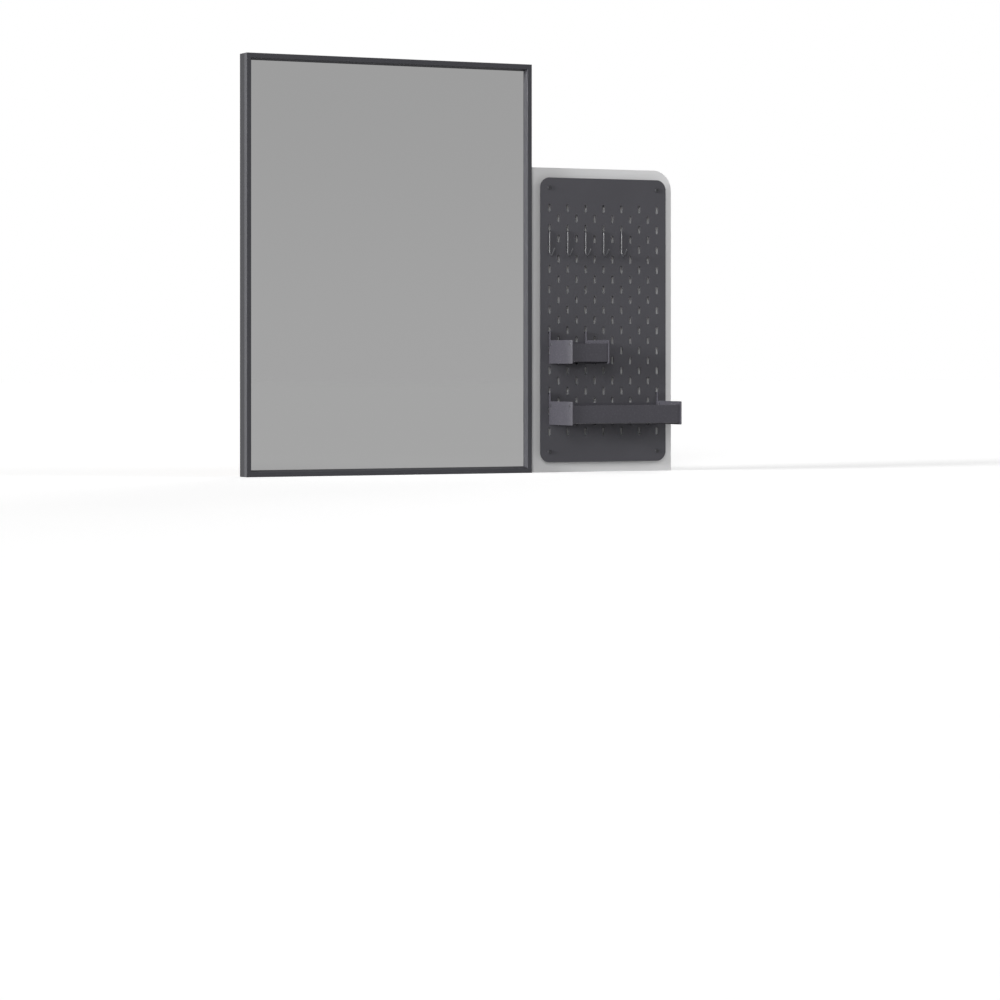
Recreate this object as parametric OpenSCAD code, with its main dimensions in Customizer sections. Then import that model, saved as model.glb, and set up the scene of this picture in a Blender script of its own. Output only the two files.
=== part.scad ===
// Dressing table mirror unit: a tall framed mirror, a side panel beside it,
// and a slotted organiser board on the panel with wire hooks and two hung trays.
// Origin: middle of the unit's width, on the line of the base bolts, at the base.
// +X right, +Y towards the back, +Z up. Millimetres.

/* [Mirror] */
// Width of the framed mirror
mirror_w = 600; // [450:10:800]
// Height of the framed mirror
mirror_h = 800; // [650:10:1100]
// Depth of the frame from its back to its front
frame_depth = 35; // [34:0.5:42]
// Distance from the back of the frame to the axis of the base bolts
back_y = 8; // [7:0.5:9]

/* [Metal front trim] */
// Width of the trim's front face
trim_face_w = 9; // [8.5:0.5:11]
// Depth of the trim's outer flange
trim_side_d = 12; // [8:0.5:14]
// Wall of the trim
trim_wall = 1; // [0.8:0.1:1.4]
// Radius of the trim's outer front edge
trim_edge_r = 0.8; // [0.4:0.1:1]
// Width of the bevel between the front face and the glass
trim_bevel_w = 4; // [2:0.5:5]
// Depth of the glass behind the front face
glass_recess = 10; // [8:0.5:12]

/* [Carrier rails] */
// Width of the carrier rail seen from the back
rail_w = 30; // [28:1:40]
// Width of the ledge outside the back cover's rebate
rebate_inset = 20; // [19:0.5:22]
// Gap between the trim and the carrier's tongue
tongue_fit = 0.2; // [0.1:0.05:0.3]

/* [Glass] */
// Thickness of the mirror glass
glass_t = 4; // [3:0.5:5]
// Distance from the outer side of the frame to the bottom of the glass groove
groove_inset = 4; // [3:0.5:5]
// Gap at the edge of the glass in its groove
glass_edge_fit = 0.3; // [0.2:0.1:0.6]
// Gap at the faces of the glass in its groove
glass_face_fit = 0.2; // [0.1:0.05:0.3]

/* [Back cover] */
// Thickness of the back cover
cover_t = 3; // [2.5:0.5:4]
// Gap round the back cover in its rebate
cover_fit = 0.5; // [0.3:0.1:1]
// Gap round the packing sheet inside the ledge
packing_fit = 1; // [0.5:0.5:3]
// Distance of the end screws of the cover from the frame's corners
cover_screw_inset = 90; // [80:5:140]

/* [Small screws] */
// Radius of the shank of the small countersunk screws
screw_r = 1.5; // [1.3:0.1:1.7]
// Radius of their heads
screw_head_r = 3; // [2.6:0.1:3.2]
// Height of their heads
screw_head_h = 1.6; // [1.2:0.1:1.8]
// Length of the small screws
screw_len = 11; // [9:0.5:12]
// Clearance round a screw in its hole
screw_fit = 0.1; // [0.05:0.05:0.15]

/* [Corner brackets] */
// Length of a bracket's leg
bracket_leg = 60; // [50:1:70]
// Width of a bracket's leg
bracket_w = 14; // [12:0.5:15]
// Thickness of the steel plates let into the back
plate_t = 2; // [1.5:0.1:2.4]
// Distance of a bracket from the outer side of the frame
bracket_inset = 3; // [2.5:0.5:4]
// Distance of the first screw of a leg from the bracket's corner
bracket_hole_1 = 24; // [20:1:28]
// Distance of the second screw of a leg from the leg's end
bracket_end_margin = 10; // [6:0.5:12]
// Clearance round a plate in its recess
plate_fit = 0.2; // [0.1:0.05:0.3]

/* [Base bolts] */
// Radius of the threaded hole for a base bolt
insert_bore_r = 2.5; // [2:0.1:3]
// Outer radius of a threaded insert
insert_r = 4; // [3.6:0.1:4.4]
// Length of a threaded insert
insert_len = 12; // [10:1:13]
// Distance of an insert from the end of the mirror or the side panel
insert_inset = 60; // [45:5:100]
// Clearance round an insert or a dowel
insert_fit = 0.05; // [0.02:0.01:0.1]

/* [Side panel] */
// Width of the side panel
panel_w = 320; // [300:10:460]
// Height of the side panel
panel_h = 600; // [560:10:640]
// Thickness of the side panel
panel_t = 18; // [16:1:20]
// Radius of the panel's free top corner
panel_corner_r = 40; // [20:5:80]
// Thickness of the edging strip
edging_t = 1; // [0.6:0.1:2]

/* [Joint between mirror and panel] */
// Width of a joining plate
join_w = 36; // [34:1:38]
// Height of a joining plate
join_h = 60; // [50:1:70]
// Distance of the outer joining plates from the panel's bottom and top
join_margin = 100; // [90:5:110]
// Distance between the two columns of screws in a joining plate
join_pitch_x = 20; // [18:0.5:22]
// Distance between the two rows of screws in a joining plate
join_pitch_z = 40; // [34:1:44]
// Radius of a joining dowel
dowel_r = 3; // [2.5:0.5:4]
// Length of a joining dowel
dowel_len = 28; // [24:1:32]
// Distance of the dowels from the panel's bottom and top
dowel_margin = 170; // [155:5:190]

/* [Slotted board] */
// Width of the slotted board
board_w = 280; // [240:10:280]
// Distance of the slotted board from the side panel's lower and upper edges
board_margin = 20; // [15:5:30]
// Thickness of the slotted board
board_t = 2; // [1.5:0.1:2.2]
// Gap between the side panel and the slotted board
board_standoff = 12; // [10:0.5:16]
// Radius of the slotted board's corners
board_corner_r = 20; // [10:1:25]
// Distance between slots in a row, and between rows
slot_pitch = 40; // [38:1:40]
// Width of a slot
slot_w = 5; // [4.6:0.1:6]
// Length of a slot
slot_l = 15; // [14:0.5:18]
// Least distance from the board's sides to the outer columns
slot_margin_x = 20; // [18:1:20]
// Least distance from the board's lower and upper edges to the outer rows
slot_margin_z = 60; // [50:1:70]
// Distance of the fixing screws from the board's edges
board_screw_inset = 20; // [14:1:22]
// Radius of a board screw's shank
board_screw_r = 2; // [1.6:0.1:2.4]
// Radius of a board screw's head
board_screw_head_r = 4.5; // [3.8:0.1:5]
// Height of a board screw's head
board_screw_head_h = 2.2; // [1.6:0.1:2.6]
// How far a board screw goes into the side panel
board_screw_bite = 12; // [8:1:14]
// Outer radius of a spacer
spacer_r = 6; // [5:0.5:8]

/* [Hooks] */
// Radius of the hook wire
wire_r = 1.5; // [1.2:0.1:1.8]
// Length of the hook's stem below its seat
hook_drop = 38; // [30:1:60]
// Radius of the hook's lower bend at the wire's centre
hook_bend_r = 7; // [6:0.5:10]
// Angle of the hook's lower bend
hook_bend_angle = 140; // [120:5:160]
// Length of the straight tip
hook_tip_l = 14.5; // [8:0.5:20]
// Length of the leg behind the slotted board
hook_back_l = 9; // [7:0.5:10]
// Gap between a hung piece and the slotted board
hang_fit = 0.3; // [0.2:0.05:0.5]

/* [Trays] */
// Depth of a tray's end plate
tray_depth = 100; // [80:5:140]
// Height of a tray's end plate
tray_h = 46; // [40:1:60]
// Thickness of a tray's end plate
tray_end_t = 2; // [1.2:0.1:2.4]
// Thickness of a tray's trough
tray_sheet_t = 1.5; // [1:0.1:2]
// Distance from the slot's centre down to the top of the end plate
tray_drop = 20; // [18:1:24]
// How far the end plates stand in front of the trough
tray_reveal = 4; // [2:0.5:5]
// How far the end plates reach below the trough
tray_rise = 3; // [1:0.5:5]
// How far the trough's front wall stays below the end plate's top
tray_front_drop = 7; // [4:0.5:12]
// How far the trough's back wall stays below the end plate's top
tray_back_drop = 3; // [2:0.5:6]
// Outer radius of the trough's bends
tray_bend_r = 3; // [2.5:0.5:5]
// Height of the folded hem on the front wall
tray_hem_h = 8; // [5:0.5:10]
// Radius of the end plate's front corners
tray_corner_r = 2; // [1:0.5:5]
// Width of the ear that carries the tray
ear_w = 5; // [4:0.5:8]
// Height of the ear's tab in the slot
tab_h = 4.5; // [3.5:0.5:5.5]
// Thickness of the lip behind the slotted board
lip_t = 3; // [2:0.5:4]
// How far the lip reaches below the slot's lower edge
lip_drop = 7; // [5:0.5:7.5]
// Radius of a rivet's head
rivet_head_r = 2.5; // [2:0.1:3]
// Height of a rivet's head
rivet_head_h = 1; // [0.6:0.1:1.4]
// Radius of a rivet's shank
rivet_r = 1.6; // [1.2:0.1:1.8]
// Distance of the rivets below the end plate's top
rivet_drop = 8; // [7.5:0.5:10]
// Distance of the front rivet from the end plate's front
rivet_front = 11; // [10:0.5:13]
// Distance of the rear rivet from the end plate's back
rivet_rear = 8; // [7:0.5:9]
// Height of the trough's riveting tabs
rivet_tab_h = 9; // [8:0.5:9]
// Length of the riveting tabs past the middle of a rivet
rivet_tab_past = 5; // [4:0.5:7]
// Column that carries the short tray's right end
short_end_column = 2; // [2:1:4]

/* [Hidden] */
$fn = 64;

eps = 0.01;
cut_past = 1;
unit_w = mirror_w + panel_w;
left_x = -unit_w / 2;
seam_x = left_x + mirror_w;
right_x = unit_w / 2;
mid_mirror_x = left_x + mirror_w / 2;

// Distances behind the front are measured from the back plane of the unit
glass_front_d = frame_depth - glass_recess;
glass_back_d = glass_front_d - glass_t;
ledge_d = glass_back_d - glass_face_fit;
shoulder_d = frame_depth - trim_side_d;
tongue_front_d = frame_depth - trim_wall - tongue_fit;
trim_in_t = trim_face_w + trim_bevel_w;
bevel_slope = trim_bevel_w / glass_recess;
bevel_skew = sqrt(1 + bevel_slope * bevel_slope);
rail_mid_t = bracket_inset + bracket_w / 2;
cover_screw_t = (rebate_inset + rail_w) / 2;
board_back_d = panel_t + board_standoff;
board_front_d = board_back_d + board_t;
board_h = panel_h - 2 * board_margin;
board_x = seam_x + (panel_w - board_w) / 2;
slot_cols = floor((board_w - 2 * slot_margin_x) / slot_pitch) + 1;
slot_rows = floor((board_h - 2 * slot_margin_z) / slot_pitch) + 1;
slot_x0 = board_x + (board_w - (slot_cols - 1) * slot_pitch) / 2;
slot_z0 = board_margin + (board_h - (slot_rows - 1) * slot_pitch) / 2;
hook_row = slot_rows - 2;
short_tray_row = 5;
long_tray_row = 2;
long_end_column = slot_cols - 1;
hook_reach_r = board_t / 2 + hang_fit + wire_r;
hook_seat_z = slot_low_z(hook_row) + hang_fit
    - sqrt((hook_reach_r - wire_r) * (hook_reach_r - wire_r) - board_t * board_t / 4);
tip_bite = 0.5;
tip_ease = 0.05;
tray_seat_rise = hang_fit + slot_w / 2 - sqrt((slot_w * slot_w - tray_end_t * tray_end_t) / 4);
hang_face_y = back_y - board_front_d - hang_fit;
trough_back_gap = 2;
pan_taper_h = 0.8;
drive_w = 0.9;
drive_d = 0.7;
front_screw_len = board_t + board_standoff + board_screw_bite;

function slot_x(col) = slot_x0 + col * slot_pitch;
function slot_z(row) = slot_z0 + row * slot_pitch;
function slot_low_z(row) = slot_z(row) - slot_l / 2;

// Puts a shape drawn from the back plane, with its depth along +Z, into the unit
module from_back(x, z) {
    translate([x, back_y, z]) rotate([90, 0, 0]) children();
}

// Puts a shape drawn from a plane d in front of the back, growing towards the back
module from_front(x, d, z) {
    translate([x, back_y - d, z]) rotate([-90, 0, 0]) children();
}

// Turns the XY plane of a shape into the plane seen from the side: X forward, Y up
module side_plane() {
    rotate([90, 0, -90]) children();
}

// A box given by its corner distances, with depth counted from the back plane
module slab(x0, x1, d0, d1, z0, z1) {
    translate([x0, back_y - d1, z0]) cube([x1 - x0, d1 - d0, z1 - z0]);
}

// A countersunk screw with its head at Z = 0 and its tip at Z = len
module countersunk_screw(len) {
    difference() {
        union() {
            cylinder(h = screw_head_h, r1 = screw_head_r, r2 = screw_r);
            cylinder(h = len, r = screw_r);
        }
        cross_drive(screw_head_r);
    }
}

module cross_drive(size) {
    cube([size, drive_w, 2 * drive_d], center = true);
    cube([drive_w, size, 2 * drive_d], center = true);
}

// The room that a countersunk screw takes, with its clearance
module countersunk_hole(len) {
    translate([0, 0, -eps])
        cylinder(h = screw_head_h + eps, r1 = screw_head_r + screw_fit, r2 = screw_r + screw_fit);
    translate([0, 0, -eps]) cylinder(h = len + screw_fit + eps, r = screw_r + screw_fit);
}

// Frame members are drawn standing: X is the distance in from the outer side,
// Y the depth from the back plane, and Z runs along the length
module mitred(len, width) {
    intersection() {
        linear_extrude(len) children();
        translate([0, cut_past, 0]) rotate([90, 0, 0]) linear_extrude(frame_depth + 2 * cut_past)
            polygon([[0, 0], [width, width], [width, len - width], [0, len]]);
    }
}

module place_left() { translate([left_x, back_y, 0]) children(); }
module place_right() { translate([seam_x, back_y, 0]) mirror([1, 0, 0]) children(); }
module place_bottom() { translate([left_x, back_y, 0]) mirror([1, 0, -1]) children(); }
module place_top() {
    translate([left_x, back_y, mirror_h]) mirror([0, 0, 1]) mirror([1, 0, -1]) children();
}

// Distance in from the outer side to the bevel's front, lowered by a wall's thickness
function bevel_t(d, lowered) = trim_face_w + bevel_slope * (frame_depth - d) - lowered * bevel_skew;

// Channel with an outer flange, a flat front with a round outer edge and a bevelled inner side
module trim_profile() {
    front = -frame_depth;
    inner = front + trim_wall;
    difference() {
        union() {
            polygon([
                [0, -shoulder_d],
                [0, front + trim_edge_r],
                [trim_edge_r, front],
                [trim_face_w, front],
                [trim_in_t, -glass_front_d],
                [trim_wall, -glass_front_d],
                [trim_wall, -shoulder_d]
            ]);
            translate([trim_edge_r, front + trim_edge_r]) circle(trim_edge_r);
        }
        polygon([
            [trim_wall, 0],
            [trim_wall, inner],
            [bevel_t(-inner, trim_wall), inner],
            [bevel_t(glass_front_d, trim_wall), -glass_front_d],
            [bevel_t(glass_front_d, trim_wall), 0]
        ]);
    }
}

// Carrier section: side wall, tongue inside the trim, glass groove and back ledge
module rail_profile() {
    lowered = trim_wall + tongue_fit;
    groove_d = glass_front_d + glass_face_fit;
    polygon([
        [0, 0],
        [0, -shoulder_d],
        [lowered, -shoulder_d],
        [lowered, -tongue_front_d],
        [bevel_t(tongue_front_d, lowered), -tongue_front_d],
        [bevel_t(groove_d, lowered), -groove_d],
        [groove_inset, -groove_d],
        [groove_inset, -ledge_d],
        [rail_w, -ledge_d],
        [rail_w, -cover_t],
        [rebate_inset, -cover_t],
        [rebate_inset, 0]
    ]);
}

module trim_member(len) {
    color([0.30, 0.30, 0.32]) mitred(len, trim_in_t) trim_profile();
}

module rail_member(len) {
    mitred(len, rail_w) rail_profile();
}

// Each rail is cut for everything that is let into its back, side and base
module cut_rail() {
    color([0.20, 0.20, 0.21]) difference() {
        children();
        at_corners() bracket_recess();
        at_bracket_screws() countersunk_hole(screw_len);
        at_cover_screws() countersunk_hole(screw_len);
        at_inserts() insert_hole();
        at_joins() join_recess();
        at_join_screws() countersunk_hole(screw_len);
        at_dowels() dowel_hole();
    }
}

// The four corners of the mirror, each drawn as the lower left one
module at_corners() {
    for (sx = [0, 1], sz = [0, 1])
        translate([left_x + sx * mirror_w, back_y, sz * mirror_h])
            mirror([sx, 0, 0]) mirror([0, 0, sz]) children();
}

module bracket_outline(fit) {
    a = bracket_inset - fit;
    b = bracket_inset + bracket_w + fit;
    c = bracket_inset + bracket_leg + fit;
    polygon([[a, a], [c, a], [c, b], [b, b], [b, c], [a, c]]);
}

module bracket_recess() {
    translate([0, eps, 0]) rotate([90, 0, 0]) linear_extrude(plate_t + eps) bracket_outline(plate_fit);
}

module at_bracket_screws() {
    at_corners() for (h = [bracket_hole_1, bracket_leg - bracket_end_margin]) {
        translate([bracket_inset + h, 0, rail_mid_t]) rotate([90, 0, 0]) children();
        translate([rail_mid_t, 0, bracket_inset + h]) rotate([90, 0, 0]) children();
    }
}

module corner_brackets() {
    color("silver") difference() {
        at_corners() rotate([90, 0, 0]) linear_extrude(plate_t) bracket_outline(0);
        at_bracket_screws() countersunk_hole(screw_len);
    }
}

module bracket_screws() {
    color("gainsboro") at_bracket_screws() countersunk_screw(screw_len);
}

// Threaded inserts in the base of the mirror and of the side panel
module at_inserts() {
    for (x = [left_x + insert_inset, seam_x - insert_inset, seam_x + insert_inset, right_x - insert_inset])
        translate([x, 0, 0]) children();
}

module insert_hole() {
    translate([0, 0, -eps]) cylinder(h = insert_len + insert_fit + eps, r = insert_r + insert_fit);
}

module base_inserts() {
    color("goldenrod") at_inserts() difference() {
        cylinder(h = insert_len, r = insert_r);
        translate([0, 0, -eps]) cylinder(h = insert_len + 2 * eps, r = insert_bore_r);
    }
}

module mirror_glass() {
    inset = groove_inset + glass_edge_fit;
    color([0.63, 0.63, 0.64])
        slab(left_x + inset, seam_x - inset, glass_back_d, glass_front_d, inset, mirror_h - inset);
}

module packing_sheet() {
    inset = rail_w + packing_fit;
    color("whitesmoke")
        slab(left_x + inset, seam_x - inset, cover_t, glass_back_d, inset, mirror_h - inset);
}

module at_cover_screws() {
    along_x = [left_x + cover_screw_inset, mid_mirror_x, seam_x - cover_screw_inset];
    along_z = [cover_screw_inset, mirror_h / 2, mirror_h - cover_screw_inset];
    for (x = along_x, z = [cover_screw_t, mirror_h - cover_screw_t]) from_back(x, z) children();
    for (x = [left_x + cover_screw_t, seam_x - cover_screw_t], z = along_z) from_back(x, z) children();
}

module back_cover() {
    inset = rebate_inset + cover_fit;
    color([0.45, 0.33, 0.22]) difference() {
        slab(left_x + inset, seam_x - inset, 0, cover_t, inset, mirror_h - inset);
        at_cover_screws() countersunk_hole(screw_len);
    }
}

module cover_screws() {
    color("gainsboro") at_cover_screws() countersunk_screw(screw_len);
}

// Outline of the side panel, seen from the front, set in from its free edges
module panel_outline(inset) {
    r = panel_corner_r - inset;
    w = panel_w - inset;
    h = panel_h - inset;
    square([w, h - r]);
    square([w - r, h]);
    translate([w - r, h - r]) circle(r);
}

module panel_plate(inset, low, thickness) {
    translate([seam_x, back_y, 0]) rotate([90, 0, 0])
        translate([0, 0, low]) linear_extrude(thickness) panel_outline(inset);
}

module side_panel() {
    color([0.86, 0.86, 0.87]) difference() {
        panel_plate(edging_t, 0, panel_t);
        at_inserts() insert_hole();
        at_joins() join_recess();
        at_join_screws() countersunk_hole(screw_len);
        at_dowels() dowel_hole();
        at_board_screws() translate([0, 0, -eps])
            cylinder(h = front_screw_len + screw_fit, r = board_screw_r + screw_fit);
    }
}

module panel_edging() {
    color([0.90, 0.90, 0.91]) difference() {
        panel_plate(0, 0, panel_t);
        panel_plate(edging_t, -cut_past, panel_t + 2 * cut_past);
        slab(seam_x - cut_past, right_x - edging_t, -cut_past, panel_t + cut_past,
            -cut_past, panel_h - panel_corner_r - edging_t);
    }
}

// Flat plates across the seam between the mirror and the side panel
module at_joins() {
    for (z = [join_margin, panel_h / 2, panel_h - join_margin]) from_back(seam_x, z) children();
}

module join_recess() {
    translate([0, 0, (plate_t - eps) / 2])
        cube([join_w + 2 * plate_fit, join_h + 2 * plate_fit, plate_t + eps], center = true);
}

module at_join_screws() {
    at_joins() for (sx = [-1, 1], sz = [-1, 1])
        translate([sx * join_pitch_x / 2, sz * join_pitch_z / 2, 0]) children();
}

module joining_plates() {
    color("silver") difference() {
        at_joins() translate([0, 0, plate_t / 2]) cube([join_w, join_h, plate_t], center = true);
        at_join_screws() countersunk_hole(screw_len);
    }
}

module joining_screws() {
    color("gainsboro") at_join_screws() countersunk_screw(screw_len);
}

module at_dowels() {
    for (z = [dowel_margin, panel_h - dowel_margin])
        translate([seam_x, 0, z]) rotate([0, 90, 0]) children();
}

module dowel_hole() {
    cylinder(h = dowel_len + 2 * insert_fit, r = dowel_r + insert_fit, center = true);
}

module joining_dowels() {
    color("burlywood") at_dowels() cylinder(h = dowel_len, r = dowel_r, center = true);
}

// One slot of the board: a straight-sided hole with round ends
module slot_outline() {
    end = (slot_l - slot_w) / 2;
    square([slot_w, 2 * end], center = true);
    for (s = [-1, 1]) translate([0, s * end]) circle(slot_w / 2);
}

module board_outline() {
    r = board_corner_r;
    translate([r, 0]) square([board_w - 2 * r, board_h]);
    translate([0, r]) square([board_w, board_h - 2 * r]);
    for (x = [r, board_w - r], z = [r, board_h - r]) translate([x, z]) circle(r);
}

// Fixing screws of the board, drawn from the board's front face inwards
module at_board_screws() {
    x0 = board_x + board_screw_inset;
    x1 = board_x + board_w - board_screw_inset;
    z0 = board_margin + board_screw_inset;
    z1 = board_margin + board_h - board_screw_inset;
    for (x = [x0, x1], z = [z0, z1]) from_front(x, board_front_d, z) children();
}

module slotted_board() {
    color([0.27, 0.27, 0.29]) difference() {
        translate([board_x, back_y - board_back_d, board_margin]) rotate([90, 0, 0])
            linear_extrude(board_t) board_outline();
        for (row = [0 : slot_rows - 1], col = [0 : slot_cols - 1])
            cut_slot(slot_x(col), slot_z(row));
        for (row = [0 : slot_rows - 2], col = [0 : slot_cols - 2])
            cut_slot(slot_x(col) + slot_pitch / 2, slot_z(row) + slot_pitch / 2);
        at_board_screws() translate([0, 0, -cut_past])
            cylinder(h = board_t + 2 * cut_past, r = board_screw_r + screw_fit);
    }
}

module cut_slot(x, z) {
    from_back(x, z) translate([0, 0, board_back_d - cut_past])
        linear_extrude(board_t + 2 * cut_past) slot_outline();
}

module board_spacers() {
    color([0.15, 0.15, 0.16]) at_board_screws() translate([0, 0, board_t]) difference() {
        cylinder(h = board_standoff, r = spacer_r);
        translate([0, 0, -cut_past])
            cylinder(h = board_standoff + 2 * cut_past, r = board_screw_r + screw_fit);
    }
}

module board_screws() {
    color([0.18, 0.18, 0.19]) at_board_screws() difference() {
        union() {
            cylinder(h = front_screw_len, r = board_screw_r);
            translate([0, 0, pan_taper_h - board_screw_head_h])
                cylinder(h = board_screw_head_h - pan_taper_h, r = board_screw_head_r);
            translate([0, 0, -board_screw_head_h])
                cylinder(h = pan_taper_h, r1 = board_screw_head_r - pan_taper_h, r2 = board_screw_head_r);
        }
        translate([0, 0, -board_screw_head_h]) cross_drive(board_screw_head_r);
    }
}

// A straight piece of hook wire in the side plane, along +Y
module wire_rod(len) {
    rotate([-90, 0, 0]) cylinder(h = len, r = wire_r);
}

// A free end of the wire, rounded over
module wire_end(r, len) {
    rotate([-90, 0, 0]) rotate_extrude() {
        square([r, len - r]);
        intersection() {
            translate([0, len - r]) circle(r);
            translate([0, len - r - eps]) square([r, r + eps]);
        }
    }
}

module wire_bend(r, sweep) {
    rotate_extrude(angle = sweep) translate([r, 0]) circle(wire_r);
}

// A wire hook: a leg behind the board, over the slot's lower edge, down the front,
// and forward and up to its tip
module wire_hook(col) {
    color([0.35, 0.35, 0.37]) translate([slot_x(col), back_y - board_back_d - board_t / 2, hook_seat_z])
        side_plane() union() {
            wire_bend(hook_reach_r, 180);
            translate([-hook_reach_r, 0, 0]) rotate([0, 0, 180]) wire_end(wire_r, hook_back_l);
            translate([hook_reach_r, 0, 0]) rotate([0, 0, 180]) wire_rod(hook_drop);
            translate([hook_reach_r + hook_bend_r, -hook_drop, 0]) rotate([0, 0, 180]) {
                wire_bend(hook_bend_r, hook_bend_angle);
                rotate([0, 0, hook_bend_angle]) translate([hook_bend_r, -tip_bite, 0])
                    wire_end(wire_r - tip_ease, hook_tip_l + tip_bite);
            }
        }
}

// Tray shapes are drawn in the side plane: X forward from the hanging face, Y up
// from the top of the end plate
module tray_frame(x, row) {
    translate([x, hang_face_y, slot_z(row) - tray_drop]) side_plane() children();
}

module end_plate_outline() {
    r = tray_corner_r;
    seat = tray_drop - slot_l / 2 + tray_seat_rise;
    lip_front = -board_t - 2 * hang_fit;
    lip_back = lip_front - lip_t;
    polygon([
        [0, -tray_h],
        [tray_depth - r, -tray_h],
        [tray_depth, r - tray_h],
        [tray_depth, -r],
        [tray_depth - r, 0],
        [ear_w, 0],
        [ear_w, seat + tab_h],
        [lip_back, seat + tab_h],
        [lip_back, seat - lip_drop],
        [lip_front, seat - lip_drop],
        [lip_front, seat],
        [0, seat]
    ]);
    for (y = [-r, r - tray_h]) translate([tray_depth - r, y]) circle(r);
}

module tray_end(x, row) {
    color([0.33, 0.33, 0.36]) difference() {
        tray_frame(x, row) linear_extrude(tray_end_t, center = true) end_plate_outline();
        at_rivets(x, row) cylinder(h = 2 * tray_end_t, r = rivet_r + screw_fit, center = true);
    }
}

// Rivet axes of one end plate
module at_rivets(x, row) {
    tray_frame(x, row) for (p = [rivet_rear, tray_depth - rivet_front])
        translate([p, -rivet_drop, 0]) children();
}

// Section of the trough: front wall with its hem, bottom and back wall
module trough_section() {
    back = trough_back_gap;
    front = tray_depth - tray_reveal;
    bottom = tray_rise - tray_h;
    difference() {
        trough_block(back, front, bottom, tray_bend_r);
        trough_block(back + tray_sheet_t, front - tray_sheet_t, bottom + tray_sheet_t,
            tray_bend_r - tray_sheet_t);
        translate([(back + front) / 2, -tray_front_drop]) square([front, tray_h]);
        translate([0, -tray_back_drop]) square([tray_depth, tray_h]);
    }
}

// The front wall's top edge is folded back on its inner side
module front_hem() {
    translate([tray_depth - tray_reveal - 2 * tray_sheet_t, -tray_front_drop - tray_hem_h])
        square([tray_sheet_t + eps, tray_hem_h]);
}

module trough_block(x0, x1, y0, r) {
    translate([x0, y0 + r]) square([x1 - x0, tray_h]);
    translate([x0 + r, y0]) square([x1 - x0 - 2 * r, r + eps]);
    for (x = [x0 + r, x1 - r]) translate([x, y0 + r]) circle(r);
}

// Tabs bent in from the trough's walls, flat against the end plates
module rivet_tabs(x, side, row) {
    inner = tray_end_t / 2;
    tab_z = side > 0 ? -inner - tray_sheet_t : inner;
    rear = trough_back_gap + tray_sheet_t - eps;
    front = tray_depth - tray_reveal - tray_sheet_t + eps;
    low = -rivet_drop - rivet_tab_h / 2;
    tray_frame(x, row) difference() {
        translate([0, 0, tab_z]) linear_extrude(tray_sheet_t) {
            translate([rear, low]) square([rivet_rear + rivet_tab_past - rear, rivet_tab_h]);
            translate([tray_depth - rivet_front - rivet_tab_past, low])
                square([front - tray_depth + rivet_front + rivet_tab_past, rivet_tab_h]);
        }
        for (p = [rivet_rear, tray_depth - rivet_front]) translate([p, -rivet_drop, 0])
            cylinder(h = 2 * (tray_end_t + 2 * tray_sheet_t), r = rivet_r + screw_fit, center = true);
    }
}

module trough(end_column, row) {
    x0 = slot_x(0);
    x1 = slot_x(end_column);
    clear_l = x1 - x0 - tray_end_t;
    color([0.26, 0.26, 0.28]) union() {
        tray_frame((x0 + x1) / 2, row) {
            linear_extrude(clear_l, center = true) trough_section();
            linear_extrude(clear_l - 4 * tray_sheet_t, center = true) front_hem();
        }
        rivet_tabs(x0, 1, row);
        rivet_tabs(x1, -1, row);
    }
}

// One rivet with its larger head outside the end plate and its tail inside
module rivet() {
    out = tray_end_t / 2;
    tail = out + tray_sheet_t;
    translate([0, 0, -tail]) cylinder(h = tail + out, r = rivet_r);
    translate([0, 0, out]) cylinder(h = rivet_head_h, r1 = rivet_head_r, r2 = rivet_head_r * 0.7);
    translate([0, 0, -tail - rivet_head_h / 2]) cylinder(h = rivet_head_h / 2, r = rivet_head_r * 0.8);
}

module tray_rivets(end_column, row) {
    color([0.50, 0.50, 0.52]) union() {
        at_rivets(slot_x(0), row) rivet();
        at_rivets(slot_x(end_column), row) mirror([0, 0, 1]) rivet();
    }
}

place_left() trim_member(mirror_h);  // trim_left
place_right() trim_member(mirror_h);  // trim_right
place_bottom() trim_member(mirror_w);  // trim_bottom
place_top() trim_member(mirror_w);  // trim_top
cut_rail() place_left() rail_member(mirror_h);  // rail_left
cut_rail() place_right() rail_member(mirror_h);  // rail_right
cut_rail() place_bottom() rail_member(mirror_w);  // rail_bottom
cut_rail() place_top() rail_member(mirror_w);  // rail_top
mirror_glass();
packing_sheet();
back_cover();
cover_screws();
corner_brackets();
bracket_screws();
base_inserts();
side_panel();
panel_edging();
joining_plates();
joining_screws();
joining_dowels();
slotted_board();
board_spacers();
board_screws();
wire_hook(0);  // hook_1
wire_hook(1);  // hook_2
wire_hook(2);  // hook_3
wire_hook(3);  // hook_4
wire_hook(4);  // hook_5
trough(short_end_column, short_tray_row);  // short_tray_trough
tray_end(slot_x(0), short_tray_row);  // short_tray_end_left
tray_end(slot_x(short_end_column), short_tray_row);  // short_tray_end_right
tray_rivets(short_end_column, short_tray_row);  // short_tray_rivets
trough(long_end_column, long_tray_row);  // long_tray_trough
tray_end(slot_x(0), long_tray_row);  // long_tray_end_left
tray_end(slot_x(long_end_column), long_tray_row);  // long_tray_end_right
tray_rivets(long_end_column, long_tray_row);  // long_tray_rivets
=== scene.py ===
"""Looks of a dressing table mirror unit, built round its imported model.

A tall framed mirror stands beside a side panel. The panel carries a slotted
organiser board with wire hooks and two hung trays. Lengths are in metres.
"""

import logging
import math
from collections.abc import Callable
from dataclasses import dataclass
from enum import Enum
from functools import partial

import bmesh
import bpy
from mathutils import Matrix, Vector


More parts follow.
